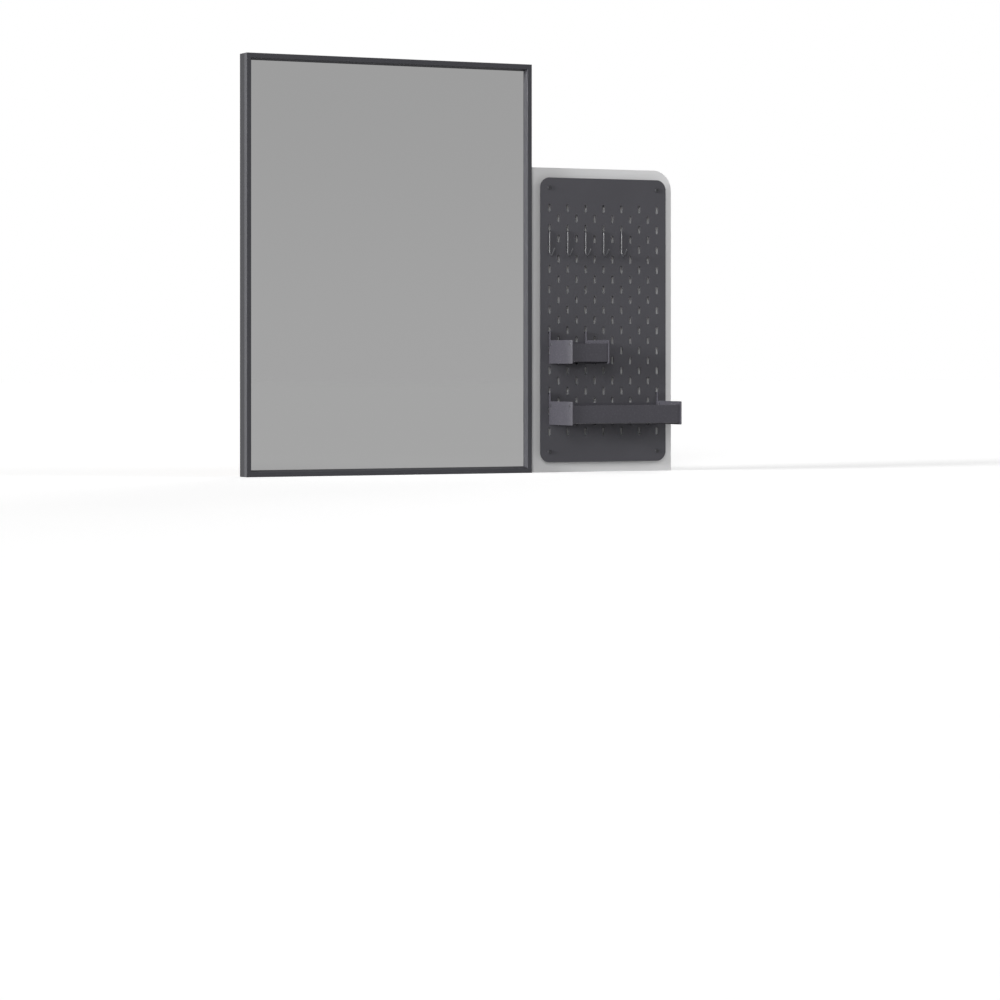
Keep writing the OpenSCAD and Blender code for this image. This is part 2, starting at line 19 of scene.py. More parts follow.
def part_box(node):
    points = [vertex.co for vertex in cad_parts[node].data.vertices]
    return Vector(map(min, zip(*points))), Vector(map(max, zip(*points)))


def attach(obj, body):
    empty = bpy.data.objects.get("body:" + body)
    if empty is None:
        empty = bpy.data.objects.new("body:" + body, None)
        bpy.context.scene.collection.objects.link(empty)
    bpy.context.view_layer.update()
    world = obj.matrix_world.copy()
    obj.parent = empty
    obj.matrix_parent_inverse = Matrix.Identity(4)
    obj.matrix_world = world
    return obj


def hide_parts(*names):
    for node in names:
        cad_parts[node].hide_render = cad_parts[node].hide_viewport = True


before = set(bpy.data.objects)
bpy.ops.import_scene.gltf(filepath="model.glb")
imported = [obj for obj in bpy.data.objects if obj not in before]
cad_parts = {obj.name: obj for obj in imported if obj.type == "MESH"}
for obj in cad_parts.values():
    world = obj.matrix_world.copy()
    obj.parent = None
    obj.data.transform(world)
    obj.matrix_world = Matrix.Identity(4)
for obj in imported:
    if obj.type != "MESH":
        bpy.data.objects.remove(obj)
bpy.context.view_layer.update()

LOG = logging.getLogger("mirror_unit")
MM = 0.001
TURN = 2 * math.pi

# Shapes
MERGE = 1e-6  # points closer than this are one
SORT_DIGITS = 5  # decimals of a metre that order the solids of a node
FLAT_ANGLE = math.radians(0.6)  # faces that turn less are joined
CREASE_ANGLE = math.radians(30)  # edges that turn more are rounded
SHARP_ANGLE = math.radians(50)  # edges that turn more stay sharp to look at
FACING = 0.9  # part of a normal along an axis, from which a face counts as facing it
FACE_WEIGHT = 100  # how much the large faces rule the normals
EDGE_SEGMENTS = 2
FOLD_SEGMENTS = 4
THREAD_STEPS = 5  # rings in a turn
THREAD_FLANK = 3.2  # steepness of a thread's flanks

# Attributes
EDGE = "edge"
RADIUS = "wire_radius"
AXIS = "axis"

# Directions and stretches
BACKWARDS = (0.0, 1.0, 0.0)
FORWARDS = (0.0, -1.0, 0.0)
DOWN = (0.0, 0.0, -1.0)
EVEN = (1.0, 1.0, 1.0)

WHITE = (1.0, 1.0, 1.0, 1.0)

Colour = tuple[float, float, float]
Point = tuple[float, float, float]
Place = tuple[Vector, Vector]
Radius = float | Callable[[float], float]
Station = tuple[Radius, float]
Shape = bmesh.types.BMesh
Piece = bpy.types.Object
Settings = dict[str, object]
Values = dict[str | int, object]


class Axis(Enum):
    """A direction of the unit that a pattern runs along."""

    X = 0
    Y = 1
    Z = 2


# --------------------------------------------------------------------------
# Node trees


class Socket:
    """An output of a node, with arithmetic that adds Math nodes to its tree."""

    def __init__(self, graph: "Graph", output: bpy.types.NodeSocket) -> None:
        """Wraps an output of a node in graph."""
        self.graph = graph
        self.output = output

    def _maths(self, operation: str, first: object, second: object) -> "Socket":
        """Adds a Math node with two values."""
        return self.graph.out("ShaderNodeMath", {"operation": operation}, {0: first, 1: second})

    def __add__(self, other: object) -> "Socket":
        """This value and another."""
        return self._maths("ADD", self, other)

    def __sub__(self, other: object) -> "Socket":
        """This value less another."""
        return self._maths("SUBTRACT", self, other)

    def __rsub__(self, other: object) -> "Socket":
        """Another value less this one."""
        return self._maths("SUBTRACT", other, self)

    def __mul__(self, other: object) -> "Socket":
        """This value times another."""
        return self._maths("MULTIPLY", self, other)

    __radd__ = __add__
    __rmul__ = __mul__


class Graph:
    """A node tree that is written from Python."""

    def __init__(self, tree: bpy.types.NodeTree) -> None:
        """Starts on a tree."""
        self.tree = tree

    def node(
        self, kind: str, settings: Settings | None = None, values: Values | None = None
    ) -> bpy.types.Node:
        """Adds a node.

        Args:
            kind: The node's type.
            settings: The node's own settings, set before its sockets are.
            values: Plain values or Sockets for its inputs, by name or number.

        Returns:
            The new node.
        """
        node = self.tree.nodes.new(kind)
        for name, value in (settings or {}).items():
            setattr(node, name, value)
        for key, value in (values or {}).items():
            if isinstance(key, int):
                target = node.inputs[key]
            else:
                target = next(s for s in node.inputs if s.name == key and s.enabled)
            if isinstance(value, Socket):
                self.tree.links.new(value.output, target)
            else:
                target.default_value = value
        return node

    def out(
        self,
        kind: str,
        settings: Settings | None = None,
        values: Values | None = None,
        output: str | None = None,
    ) -> Socket:
        """Adds a node and returns one of its outputs.

        Args:
            kind: The node's type.
            settings: The node's own settings.
            values: Plain values or Sockets for its inputs.
            output: The name of the output, or None for the first in use.

        Returns:
            The output as a Socket.
        """
        node = self.node(kind, settings, values)
        return Socket(self, next(o for o in node.outputs if o.enabled and output in (None, o.name)))


class Surface(Graph):
    """The node tree of one material, with the patterns that the finishes share."""

    def place(self, stretch: Point = EVEN) -> Socket:
        """Places on the piece.

        Args:
            stretch: How much denser a pattern is along each axis.

        Returns:
            Object coordinates, multiplied by stretch.
        """
        coords = self.out("ShaderNodeTexCoord", output="Object")
        if stretch == EVEN:
            return coords
        return self.out("ShaderNodeMapping", {}, {"Vector": coords, "Scale": stretch})

    def noise(
        self, scale: float, detail: float = 2.0, stretch: Point = EVEN, wobble: float = 0.0
    ) -> Socket:
        """A noise between 0 and 1.

        Args:
            scale: Blotches in a metre.
            detail: Finer layers that are added.
            stretch: How much denser the noise is along each axis.
            wobble: How far the noise is distorted.

        Returns:
            The noise.
        """
        place = self.place(stretch)
        values = {"Vector": place, "Scale": scale, "Detail": detail, "Distortion": wobble}
        return self.out("ShaderNodeTexNoise", {}, values, "Fac")

    def cells(self, scale: float) -> Socket:
        """Cells, as the distance from their centres."""
        values = {"Vector": self.place(), "Scale": scale}
        return self.out("ShaderNodeTexVoronoi", {}, values, "Distance")

    def step(self, value: Socket, low: float, high: float) -> Socket:
        """Rises smoothly from 0 at low to 1 at high."""
        values = {"Value": value, "From Min": low, "From Max": high}
        return self.out("ShaderNodeMapRange", {"interpolation_type": "SMOOTHSTEP"}, values)

    def mix(self, first: object, second: object, share: Socket) -> Socket:
        """A colour between two colours."""
        values = {"Factor": share, "A": opaque(first), "B": opaque(second)}
        return self.out("ShaderNodeMix", {"data_type": "RGBA"}, values)

    def shades(self, colour: Colour, low: float, high: float, share: Socket) -> Socket:
        """A colour between two shades of one colour."""
        return self.mix(scaled(colour, low), scaled(colour, high), share)

    def bump(self, height: Socket, depth: float, under: Socket | None = None) -> Socket:
        """A normal that is moved by a height.

        Args:
            height: The height, between 0 and 1.
            depth: The real height that 1 stands for.
            under: A normal of an earlier bump.

        Returns:
            The normal.
        """
        values = {"Height": height, "Distance": depth, "Strength": 1.0}
        if under is not None:
            values["Normal"] = under
        return self.out("ShaderNodeBump", {}, values)

    def edges(self) -> Socket:
        """1 on the rounded edges of a piece and 0 on its faces."""
        return self.out("ShaderNodeAttribute", {"attribute_name": EDGE}, output="Fac")

    def height_share(self, top: float) -> Socket:
        """0 at the base of the unit and 1 at a height."""
        parts = self.node("ShaderNodeSeparateXYZ", {}, {"Vector": self.place()})
        return Socket(self, parts.outputs["Z"]) * (1 / top)


def opaque(colour: object) -> object:
    """A colour with an alpha of 1, or the Socket that was given."""
    return colour if isinstance(colour, Socket) else (*colour, 1.0)


def scaled(colour: Colour, factor: float) -> Colour:
    """A colour made darker or lighter."""
    return tuple(channel * factor for channel in colour)


def tinted(colour: Colour, shift: Point) -> Colour:
    """A colour with each channel multiplied by its own factor."""
    return tuple(channel * part for channel, part in zip(colour, shift))


def drawn_out(along: Axis, share: float) -> Point:
    """The stretch of a pattern that is drawn out along one axis."""
    return tuple(share if axis is along else 1.0 for axis in Axis)


# --------------------------------------------------------------------------
# Finishes


@dataclass(frozen=True)
class Finish:
    """What every finish has.

    Gloss is how strongly the top layer reflects. The patterns of the finishes are
    written as noises, in blotches to a metre, and as shares of the main colour.
    """

    name: str
    colour: Colour
    roughness: float
    gloss: float = 0.5
    metallic: float = 0.0

    def material(self) -> bpy.types.Material:
        """Writes the material once and then shares it.

        Returns:
            The material.
        """
        known = bpy.data.materials.get(self.name)
        if known is not None:
            return known
        material = bpy.data.materials.new(self.name)
        material.diffuse_color = (*self.colour, 1.0)
        material.use_nodes = True
        material.node_tree.nodes.clear()
        surface = Surface(material.node_tree)
        values = {**self.constants(), **self.pattern(surface)}
        shader = surface.out("ShaderNodeBsdfPrincipled", {}, values, "BSDF")
        surface.node("ShaderNodeOutputMaterial", {}, {"Surface": shader})
        return material

    def constants(self) -> Settings:
        """Shader values that are the same all over."""
        return {"Metallic": self.metallic, "Specular IOR Level": self.gloss}

    def pattern(self, surface: Surface) -> dict[str, Socket]:
        """Shader values that change over the surface.

        Args:
            surface: The tree that the nodes go into.

        Returns:
            The shader's inputs by name.
        """
        raise NotImplementedError


@dataclass(frozen=True)
class PowderCoat(Finish):
    """Matt paint baked on metal: a fine orange peel, thinner and paler on the edges."""

    gloss: float = 0.22
    grain: float = 1500.0
    peel: float = 0.020 * MM
    edge_lift: float = 1.3

    def pattern(self, surface: Surface) -> dict[str, Socket]:
        """Grain, soft clouds and worn edges.

        Args:
            surface: The tree that the nodes go into.

        Returns:
            The shader's inputs by name.
        """
        grain = surface.noise(self.grain, 2.0)
        clouds = surface.noise(11.0, 4.0)
        tone = surface.step(grain, 0.32, 0.68) * 0.5 + clouds * 0.5
        coat = surface.shades(self.colour, 0.82, 1.20, tone)
        worn = surface.edges() * surface.step(surface.noise(160.0, 5.0), 0.42, 0.62)
        dull = surface.noise(420.0, 3.0) * 0.14 + (self.roughness - 0.07)
        peel = surface.bump(grain, self.peel)
        return {
            "Base Color": surface.mix(coat, scaled(self.colour, self.edge_lift), worn),
            "Roughness": dull - worn * 0.08,
            "Normal": surface.bump(surface.noise(90.0, 2.0), 0.02 * MM, peel),
        }


@dataclass(frozen=True)
class Laminate(Finish):
    """Pale melamine film with a pearled surface."""

    gloss: float = 0.42
    pearl: float = 620.0

    def pattern(self, surface: Surface) -> dict[str, Socket]:
        """Pearls, a faint fleck and smudges in the gloss.

        Args:
            surface: The tree that the nodes go into.

        Returns:
            The shader's inputs by name.
        """
        pearls = surface.noise(self.pearl, 1.0)
        clouds = surface.noise(5.0, 3.0)
        fleck = surface.step(surface.noise(2600.0, 1.0), 0.66, 0.74)
        film = surface.shades(self.colour, 0.975, 1.02, clouds * 0.6 + pearls * 0.4)
        smudges = surface.noise(30.0, 4.0)
        return {
            "Base Color": surface.mix(film, tinted(self.colour, (0.90, 0.895, 0.88)), fleck * 0.35),
            "Roughness": smudges * 0.12 + pearls * 0.06 + (self.roughness - 0.09),
            "Normal": surface.bump(pearls, 0.014 * MM),
        }


@dataclass(frozen=True)
class Foil(Finish):
    """Dark plastic film pressed round a moulding, with fine lines along it."""

    gloss: float = 0.12
    along: Axis = Axis.Z

    def pattern(self, surface: Surface) -> dict[str, Socket]:
        """Long lines, a fine grain and slightly rubbed edges.

        Args:
            surface: The tree that the nodes go into.

        Returns:
            The shader's inputs by name.
        """
        lines = surface.noise(1100.0, 3.0, drawn_out(self.along, 0.03))
        grain = surface.noise(1800.0, 1.0)
        film = surface.shades(self.colour, 0.82, 1.2, lines * 0.7 + grain * 0.3)
        rubbed = surface.edges() * surface.step(surface.noise(120.0, 4.0), 0.45, 0.65)
        return {
            "Base Color": surface.mix(film, scaled(self.colour, 1.5), rubbed * 0.7),
            "Roughness": lines * 0.15 + (self.roughness - 0.07),
            "Normal": surface.bump(lines, 0.018 * MM),
        }


@dataclass(frozen=True)
class Silvering(Finish):
    """Mirror glass, seen as its silvering, with painted reflection: dim grey, a little brighter
    towards the base.
    """

    metallic: float = 1.0
    top: float = 0.8
    # painted shade: how dark the top of the mirror is painted, as a share of its colour
    painted_shade_at_top: float = 0.925

    def pattern(self, surface: Surface) -> dict[str, Socket]:
        """Painted reflection that darkens towards the top, and a trace of dust.

        Args:
            surface: The tree that the nodes go into.

        Returns:
            The shader's inputs by name.
        """
        dust = surface.step(surface.noise(340.0, 6.0), 0.60, 0.80) * surface.noise(4.0, 3.0)
        # painted reflection: the mirror is shaded darker from the base towards its top
        rise = surface.step(surface.height_share(self.top), 0.2, 1.0)
        tone = surface.mix(self.colour, scaled(self.colour, self.painted_shade_at_top), rise)
        return {
            "Base Color": surface.mix(tone, scaled(self.colour, 1.05), dust * 0.2),
            "Roughness": dust * 0.05 + self.roughness,
            "Normal": surface.bump(surface.noise(3.0, 1.0), 0.004 * MM),
        }


@dataclass(frozen=True)
class GlassEdge(Finish):
    """The cut and ground edge of glass, deep green."""

    gloss: float = 0.6

    def pattern(self, surface: Surface) -> dict[str, Socket]:
        """Grinding marks.

        Args:
            surface: The tree that the nodes go into.

        Returns:
            The shader's inputs by name.
        """
        marks = surface.noise(1700.0, 3.0, drawn_out(Axis.Y, 0.05))
        return {
            "Base Color": surface.shades(self.colour, 0.7, 1.4, marks),
            "Roughness": marks * 0.25 + self.roughness,
            "Normal": surface.bump(marks, 0.02 * MM),
        }


@dataclass(frozen=True)
class BrushedPaint(Finish):
    """Protective paint that was run over a surface, with faint streaks and specks."""

    def pattern(self, surface: Surface) -> dict[str, Socket]:
        """Streaks along the unit's width, and specks.

        Args:
            surface: The tree that the nodes go into.

        Returns:
            The shader's inputs by name.
        """
        streaks = surface.noise(260.0, 4.0, drawn_out(Axis.X, 0.04))
        specks = surface.step(surface.noise(900.0, 2.0), 0.62, 0.70)
        coat = surface.shades(self.colour, 0.85, 1.15, streaks)
        return {
            "Base Color": surface.mix(coat, scaled(self.colour, 1.7), specks * 0.4),
            "Roughness": streaks * 0.2 + (self.roughness - 0.1),
            "Normal": surface.bump(streaks, 0.02 * MM),
        }


@dataclass(frozen=True)
class PlatedMetal(Finish):
    """Plated or bare metal with a crystalline bloom and fine rolling lines."""

    metallic: float = 1.0
    bloom: float = 130.0
    lines: float = 900.0
    along: Axis = Axis.Z

    def pattern(self, surface: Surface) -> dict[str, Socket]:
        """Crystals, rolling lines, dull spots and bright edges.

        Args:
            surface: The tree that the nodes go into.

        Returns:
            The shader's inputs by name.
        """
        crystals = surface.cells(self.bloom)
        rolled = surface.noise(self.lines, 3.0, drawn_out(self.along, 0.04))
        spots = surface.step(surface.noise(70.0, 5.0), 0.50, 0.72)
        metal = surface.shades(self.colour, 0.78, 1.1, crystals * 0.6 + rolled * 0.4)
        dull = surface.mix(metal, tinted(self.colour, (0.62, 0.60, 0.57)), spots * 0.5)
        return {
            "Base Color": surface.mix(dull, scaled(self.colour, 1.25), surface.edges() * 0.6),
            "Roughness": rolled * 0.14 + spots * 0.14 + (self.roughness - 0.10),
            "Normal": surface.bump(rolled, 0.008 * MM),
        }


@dataclass(frozen=True)
class Hardboard(Finish):
    """Pressed wood fibre with the print of the press screen on its outer face."""

    gloss: float = 0.25
    screen: float = 1.6 * MM

    def pattern(self, surface: Surface) -> dict[str, Socket]:
        """Fibres and the woven print.

        Args:
            surface: The tree that the nodes go into.

        Returns:
            The shader's inputs by name.
        """
        fibres = surface.noise(240.0, 8.0, drawn_out(Axis.Z, 0.35), 1.2)
        clouds = surface.noise(8.0, 4.0)
        bands = {"wave_type": "BANDS", "wave_profile": "SIN"}
        wires = {"Vector": surface.place(), "Scale": 1 / (2 * self.screen), "Distortion": 0.5}
        warp, weft = (
            surface.out("ShaderNodeTexWave", {**bands, "bands_direction": axis}, wires, "Fac")
            for axis in ("X", "Z")
        )
        board = surface.shades(self.colour, 0.62, 1.35, fibres * 0.75 + clouds * 0.25)
        woven = warp * weft
        return {
            "Base Color": surface.mix(board, scaled(self.colour, 0.7), woven * 0.35),
            "Roughness": fibres * 0.2 + (self.roughness - 0.1),
            "Normal": surface.bump(woven, 0.09 * MM, surface.bump(fibres, 0.05 * MM)),
        }


@dataclass(frozen=True)
class Felt(Finish):
    """Pale packing felt of matted fibres."""

    gloss: float = 0.1

    def constants(self) -> Settings:
        """Loose fibres on a dull mat."""
        return {**super().constants(), "Sheen Weight": 0.3, "Sheen Roughness": 0.6}

    def pattern(self, surface: Surface) -> dict[str, Socket]:
        """Matted fibres and thick and thin places.

        Args:
            surface: The tree that the nodes go into.

        Returns:
            The shader's inputs by name.
        """
        fibres = surface.noise(700.0, 8.0, wobble=2.5)
        thick = surface.noise(25.0, 3.0)
        return {
            "Base Color": surface.shades(self.colour, 0.8, 1.08, fibres * 0.6 + thick * 0.4),
            "Roughness": fibres * 0.1 + (self.roughness - 0.05),
            "Normal": surface.bump(fibres, 0.25 * MM),
        }


@dataclass(frozen=True)
class Timber(Finish):
    """Straight-grained hardwood with short dark flecks."""

    gloss: float = 0.3
    along: Axis = Axis.X

    def pattern(self, surface: Surface) -> dict[str, Socket]:
        """Growth lines and flecks along the grain.

        Args:
            surface: The tree that the nodes go into.

        Returns:
            The shader's inputs by name.
        """
        growth = surface.noise(700.0, 4.0, drawn_out(self.along, 0.05))
        short = surface.noise(2400.0, 2.0, drawn_out(self.along, 0.25))
        flecks = surface.step(short, 0.60, 0.70)
        wood = surface.shades(self.colour, 0.78, 1.15, growth)
        return {
            "Base Color": surface.mix(wood, tinted(self.colour, (0.55, 0.45, 0.38)), flecks * 0.6),
            "Roughness": growth * 0.15 + (self.roughness - 0.07),
            "Normal": surface.bump(growth, 0.03 * MM),
        }


@dataclass(frozen=True)
class Chipboard(Finish):
    """The raw core of the panel: glued chips, pale and brown."""

    gloss: float = 0.2
    chips: float = 420.0

    def pattern(self, surface: Surface) -> dict[str, Socket]:
        """Chips of many tones with dark gaps.

        Args:
            surface: The tree that the nodes go into.

        Returns:
            The shader's inputs by name.
        """
        tone = surface.noise(self.chips, 1.0, drawn_out(Axis.X, 0.5), 1.5)
        gaps = surface.step(surface.cells(self.chips * 1.6), 0.55, 0.75)
        chips = surface.shades(self.colour, 0.55, 1.4, surface.step(tone, 0.3, 0.7))
        return {
            "Base Color": surface.mix(chips, scaled(self.colour, 0.3), gaps * 0.7),
            "Roughness": tone * 0.1 + (self.roughness - 0.05),
            "Normal": surface.bump(1 - gaps, 0.15 * MM, surface.bump(tone, 0.08 * MM)),
        }


@dataclass(frozen=True)
class MouldedPlastic(Finish):
    """Moulded or extruded plastic with a spark-eroded texture."""

    gloss: float = 0.45
    texture: float = 2200.0

    def pattern(self, surface: Surface) -> dict[str, Socket]:
        """Fine texture, flow clouds and polished edges.

        Args:
            surface: The tree that the nodes go into.

        Returns:
            The shader's inputs by name.
        """
        fine = surface.noise(self.texture, 2.0)
        flow = surface.noise(60.0, 3.0)
        body = surface.shades(self.colour, 0.92, 1.06, fine * 0.4 + flow * 0.6)
        edges = surface.edges()
        return {
            "Base Color": surface.mix(body, scaled(self.colour, 1.08), edges * 0.6),
            "Roughness": fine * 0.12 + (self.roughness - 0.06) - edges * 0.08,
            "Normal": surface.bump(fine, 0.012 * MM),
        }


DARK_FRAME = PowderCoat("dark_frame_coat", (0.048, 0.048, 0.054), 0.34, 0.12)
DARK_BOARD = PowderCoat("dark_board_coat", (0.063, 0.062, 0.070), 0.48, 0.15)
DARK_TRAY = PowderCoat(
    "dark_tray_coat", (0.058, 0.056, 0.066), 0.26, 0.16, peel=0.004 * MM, edge_lift=1.5
)
DARK_HOOK = PowderCoat(
    "hook_wire_coat", (0.050, 0.050, 0.055), 0.30, 0.4, grain=900.0, peel=0.002 * MM
)
BLACK_SCREW = PowderCoat(
    "blackened_screw", (0.036, 0.036, 0.040), 0.40, grain=3000.0, peel=0.006 * MM
)
RAIL_FOIL_UPRIGHT = Foil("rail_foil_upright", (0.026, 0.026, 0.029), 0.46)
RAIL_FOIL_ACROSS = Foil("rail_foil_across", (0.026, 0.026, 0.029), 0.46, along=Axis.X)
# painted reflection: the dim grey stands in for the dull surroundings that the mirror reflects
SILVER = Silvering("grey_silvering", (0.366, 0.366, 0.366), 0.025)
CUT_GLASS = GlassEdge("ground_glass_edge", (0.035, 0.105, 0.075), 0.18)
BACKING = BrushedPaint("mirror_backing_paint", (0.115, 0.100, 0.090), 0.55)
WHITE_FILM = Laminate("white_melamine", (0.630, 0.630, 0.635), 0.42)
WHITE_EDGING = MouldedPlastic("white_edging", (0.680, 0.680, 0.685), 0.40)
BLACK_PLASTIC = MouldedPlastic("black_plastic", (0.020, 0.020, 0.021), 0.48)
CORE = Chipboard("chipboard_core", (0.480, 0.340, 0.205), 0.85)
ZINC = PlatedMetal("zinc_plated_steel", (0.560, 0.570, 0.580), 0.40)
ZINC_SCREW = PlatedMetal(
    "zinc_plated_screw", (0.600, 0.600, 0.590), 0.32, bloom=600.0, lines=2500.0
)
BRASS = PlatedMetal(
    "turned_brass", (0.640, 0.450, 0.190), 0.30, bloom=700.0, lines=2500.0, along=Axis.X
)
RIVET_METAL = PlatedMetal(
    "blackened_rivet", (0.075, 0.075, 0.082), 0.45, bloom=900.0, lines=2500.0
)
FIBREBOARD = Hardboard("brown_hardboard", (0.215, 0.125, 0.062), 0.72)
PACKING = Felt("packing_felt", (0.720, 0.710, 0.680), 0.95)
BEECH = Timber("beech", (0.620, 0.430, 0.255), 0.62)


# --------------------------------------------------------------------------
# Meshes and pieces


def new_piece(name: str, mesh: bpy.types.Mesh, *finishes: Finish) -> Piece:
    """Makes an object of a mesh and dresses it.

    Args:
        name: The piece's name.
        mesh: Its mesh, in place.
        finishes: Its finishes, in the order of the faces' material numbers.

    Returns:
        The linked object.
    """
    piece = bpy.data.objects.new(name, mesh)
    bpy.context.scene.collection.objects.link(piece)
    mesh.materials.clear()
    for finish in finishes:
        mesh.materials.append(finish.material())
    return piece


def mesh_of(name: str, shape: Shape) -> bpy.types.Mesh:
    """Turns a BMesh into a mesh with smooth faces.

    Args:
        name: The mesh's name.
        shape: The BMesh, which is freed.

    Returns:
        The mesh.
    """
    for face in shape.faces:
        face.smooth = True
    mesh = bpy.data.meshes.new(name)
    shape.to_mesh(mesh)
    shape.free()
    mesh.set_sharp_from_angle(angle=SHARP_ANGLE)
    return mesh


def bake_modifiers(piece: Piece) -> None:
    """Turns the result of a piece's modifiers into its plain mesh.

    Args:
        piece: The piece, which loses its modifiers.
    """
    bpy.context.view_layer.update()
    graph = bpy.context.evaluated_depsgraph_get()
    mesh = bpy.data.meshes.new_from_object(
        piece.evaluated_get(graph), preserve_all_data_layers=True, depsgraph=graph
    )
    piece.modifiers.clear()
    piece.data = mesh
    mesh.name = piece.name


def settle(piece: Piece, body: str, node: str) -> None:
    """Ties a finished piece to the frame.

    Args:
        piece: The piece.
        body: The body that it moves with.
        node: The node that it stands for.
    """
    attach(piece, body)
    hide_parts(node)
    LOG.info("%s: %d faces, rides on %s", piece.name, len(piece.data.polygons), body)


def merged_copy(node: str) -> Shape:
    """Copies a node's mesh and merges its doubles.

    Args:
        node: The node.

    Returns:
        The copy.
    """
    shape = bmesh.new()
    shape.from_mesh(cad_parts[node].data)
    bmesh.ops.remove_doubles(shape, verts=shape.verts, dist=MERGE)
    return shape


def round_edges(shape: Shape, width: float) -> None:
    """Rounds a shape's sharp edges and marks the new faces for the finishes.

    Args:
        shape: The shape.
        width: How far the rounding reaches on each side.
    """
    sharp = [e for e in shape.edges if e.is_manifold and e.calc_face_angle(0.0) > CREASE_ANGLE]
    made = bmesh.ops.bevel(
        shape, geom=sharp, offset=width, offset_type="OFFSET", segments=EDGE_SEGMENTS,
        profile=0.5, affect="EDGES", clamp_overlap=False, miter_outer="ARC", miter_inner="SHARP",
    )
    mark = shape.loops.layers.float.new(EDGE)
    for face in made["faces"]:
        for loop in face.loops:
            loop[mark] = 1.0


def keep_flats(piece: Piece) -> None:
    """Gives a piece normals that leave its flat faces flat.

    Args:
        piece: The piece.
    """
    weighted = piece.modifiers.new("flat faces", "WEIGHTED_NORMAL")
    weighted.keep_sharp = True
    weighted.weight = FACE_WEIGHT
    bake_modifiers(piece)


def softened(
    node: str,
    body: str,
    slot: str,
    width: float,
    *finishes: Finish,
    choose: Callable[[Vector], int] | None = None,
    refine: Callable[[Shape], None] | None = None,
) -> None:
    """Makes a piece from a node's shape with its edges rounded.

    Args:
        node: The node.
        body: The body that the piece moves with.
        slot: Not used.
        width: How far the rounding reaches.
        finishes: The piece's finishes.
        choose: Picks a finish's number from a face's normal.
        refine: Changes the shape before its edges are rounded.
    """
    shape = merged_copy(node)
    bmesh.ops.dissolve_limit(
        shape, angle_limit=FLAT_ANGLE, verts=shape.verts, edges=shape.edges, delimit={"NORMAL"}
    )
    if refine is not None:
        refine(shape)
    if choose is not None:
        for face in shape.faces:
            face.material_index = choose(face.normal)
    round_edges(shape, width)
    for layer in list(shape.loops.layers.float_vector.values()):
        shape.loops.layers.float_vector.remove(layer)
    piece = new_piece(f"{node}_look", mesh_of(node, shape), *finishes)
    stale = piece.data.attributes.get("custom_normal")
    if stale is not None:
        piece.data.attributes.remove(stale)
    keep_flats(piece)
    settle(piece, body, node)


def loose_parts(node: str) -> list[tuple[Vector, Vector]]:
    """Finds the separate solids of a node.

    Args:
        node: The node.

    Returns:
        The low and the high corner of each, sorted by place.
    """
    shape = merged_copy(node)
    left = set(shape.verts)
    boxes = []
    while left:
        front, part = [left.pop()], []
        while front:
            vert = front.pop()
            part.append(vert.co.copy())
            for edge in vert.link_edges:
                other = edge.other_vert(vert)
                if other in left:
                    left.remove(other)
                    front.append(other)
        boxes.append(
            tuple(Vector([pick(p[i] for p in part) for i in range(3)]) for pick in (min, max))
        )
    shape.free()
    return sorted(boxes, key=lambda box: tuple(round(c, SORT_DIGITS) for c in box[0]))


def places_on(node: str, way: Point, level: float | None = None) -> list[Place]:
    """Finds where the separate solids of a node start, and which way they face.

    Args:
        node: The node.
        way: The direction that the solids face.
        level: Where they start along that direction, or None for their own outer ends.

    Returns:
        The place of each, in its middle across that direction, and the direction.
    """
    axis = next(i for i, part in enumerate(way) if part)
    places = []
    for low, high in loose_parts(node):
        place = [(a + b) / 2 for a, b in zip(low, high)]
        end = high if way[axis] > 0 else low
        place[axis] = end[axis] if level is None else level
        places.append((Vector(place), Vector(way)))
    return places


def ring(radius: Radius, height: float, sides: int) -> list[Vector]:
    """Sets points in a closed ring round Z.

    Args:
        radius: The radius, or a function that gives it for an angle.
        height: The ring's height.
        sides: The number of points.

    Returns:
        The points.
    """
    angles = [TURN * i / sides for i in range(sides)]
    reach = radius if callable(radius) else lambda _: radius
    return [Vector((reach(a) * math.cos(a), reach(a) * math.sin(a), height)) for a in angles]


def skin(
    shape: Shape, rings: list[list[Vector]], closed: bool = False
) -> list[list[bmesh.types.BMVert]]:
    """Stretches faces over rings of equal length.

    Args:
        shape: The BMesh that gets the faces.
        rings: The rings, in order.
        closed: Whether the last ring joins the first.

    Returns:
        The vertices of each ring.
    """
    rows = [[shape.verts.new(point) for point in one] for one in rings]
    pairs = list(zip(rows, rows[1:]))
    if closed:
        pairs.append((rows[-1], rows[0]))
    for low, high in pairs:
        for i in range(len(low)):
            j = (i + 1) % len(low)
            shape.faces.new((low[i], low[j], high[j], high[i]))
    return rows


def thread_radius(crest: float, root: float, pitch: float, height: float, angle: float) -> float:
    """The radius of a thread at a height and an angle round it."""
    turn = (height / pitch - angle / TURN) % 1.0
    return root + (crest - root) * max(0.0, 1 - abs(turn - 0.5) * THREAD_FLANK)


def thread(crest: float, root: float, pitch: float, start: float, end: float) -> list[Station]:
    """Stations of a screw thread that winds up along Z.

    Args:
        crest: Radius over the thread.
        root: Radius between its turns.
        pitch: Height of a turn.
        start: Height where it starts.
        end: Height where it ends.

    Returns:
        The stations, from start to end.
    """
    steps = max(2, round(abs(end - start) / pitch * THREAD_STEPS))
    heights = [start + (end - start) * i / steps for i in range(steps + 1)]
    return [(partial(thread_radius, crest, root, pitch, height), height) for height in heights]


def cross_outline(reach: float, half_width: float, height: float) -> list[Vector]:
    """Draws the outline of a cross recess, counter-clockwise.

    Args:
        reach: Distance from the centre to the end of the cross.
        half_width: Half the width of its arms.
        height: The outline's height.

    Returns:
        The twelve corners.
    """
    corners = []
    for quarter in range(4):
        turn = Matrix.Rotation(quarter * TURN / 4, 3, "Z")
        for x, y in ((reach, -half_width), (reach, half_width), (half_width, half_width)):
            corners.append(turn @ Vector((x, y, height)))
    return corners


# --------------------------------------------------------------------------
# Geometry trees


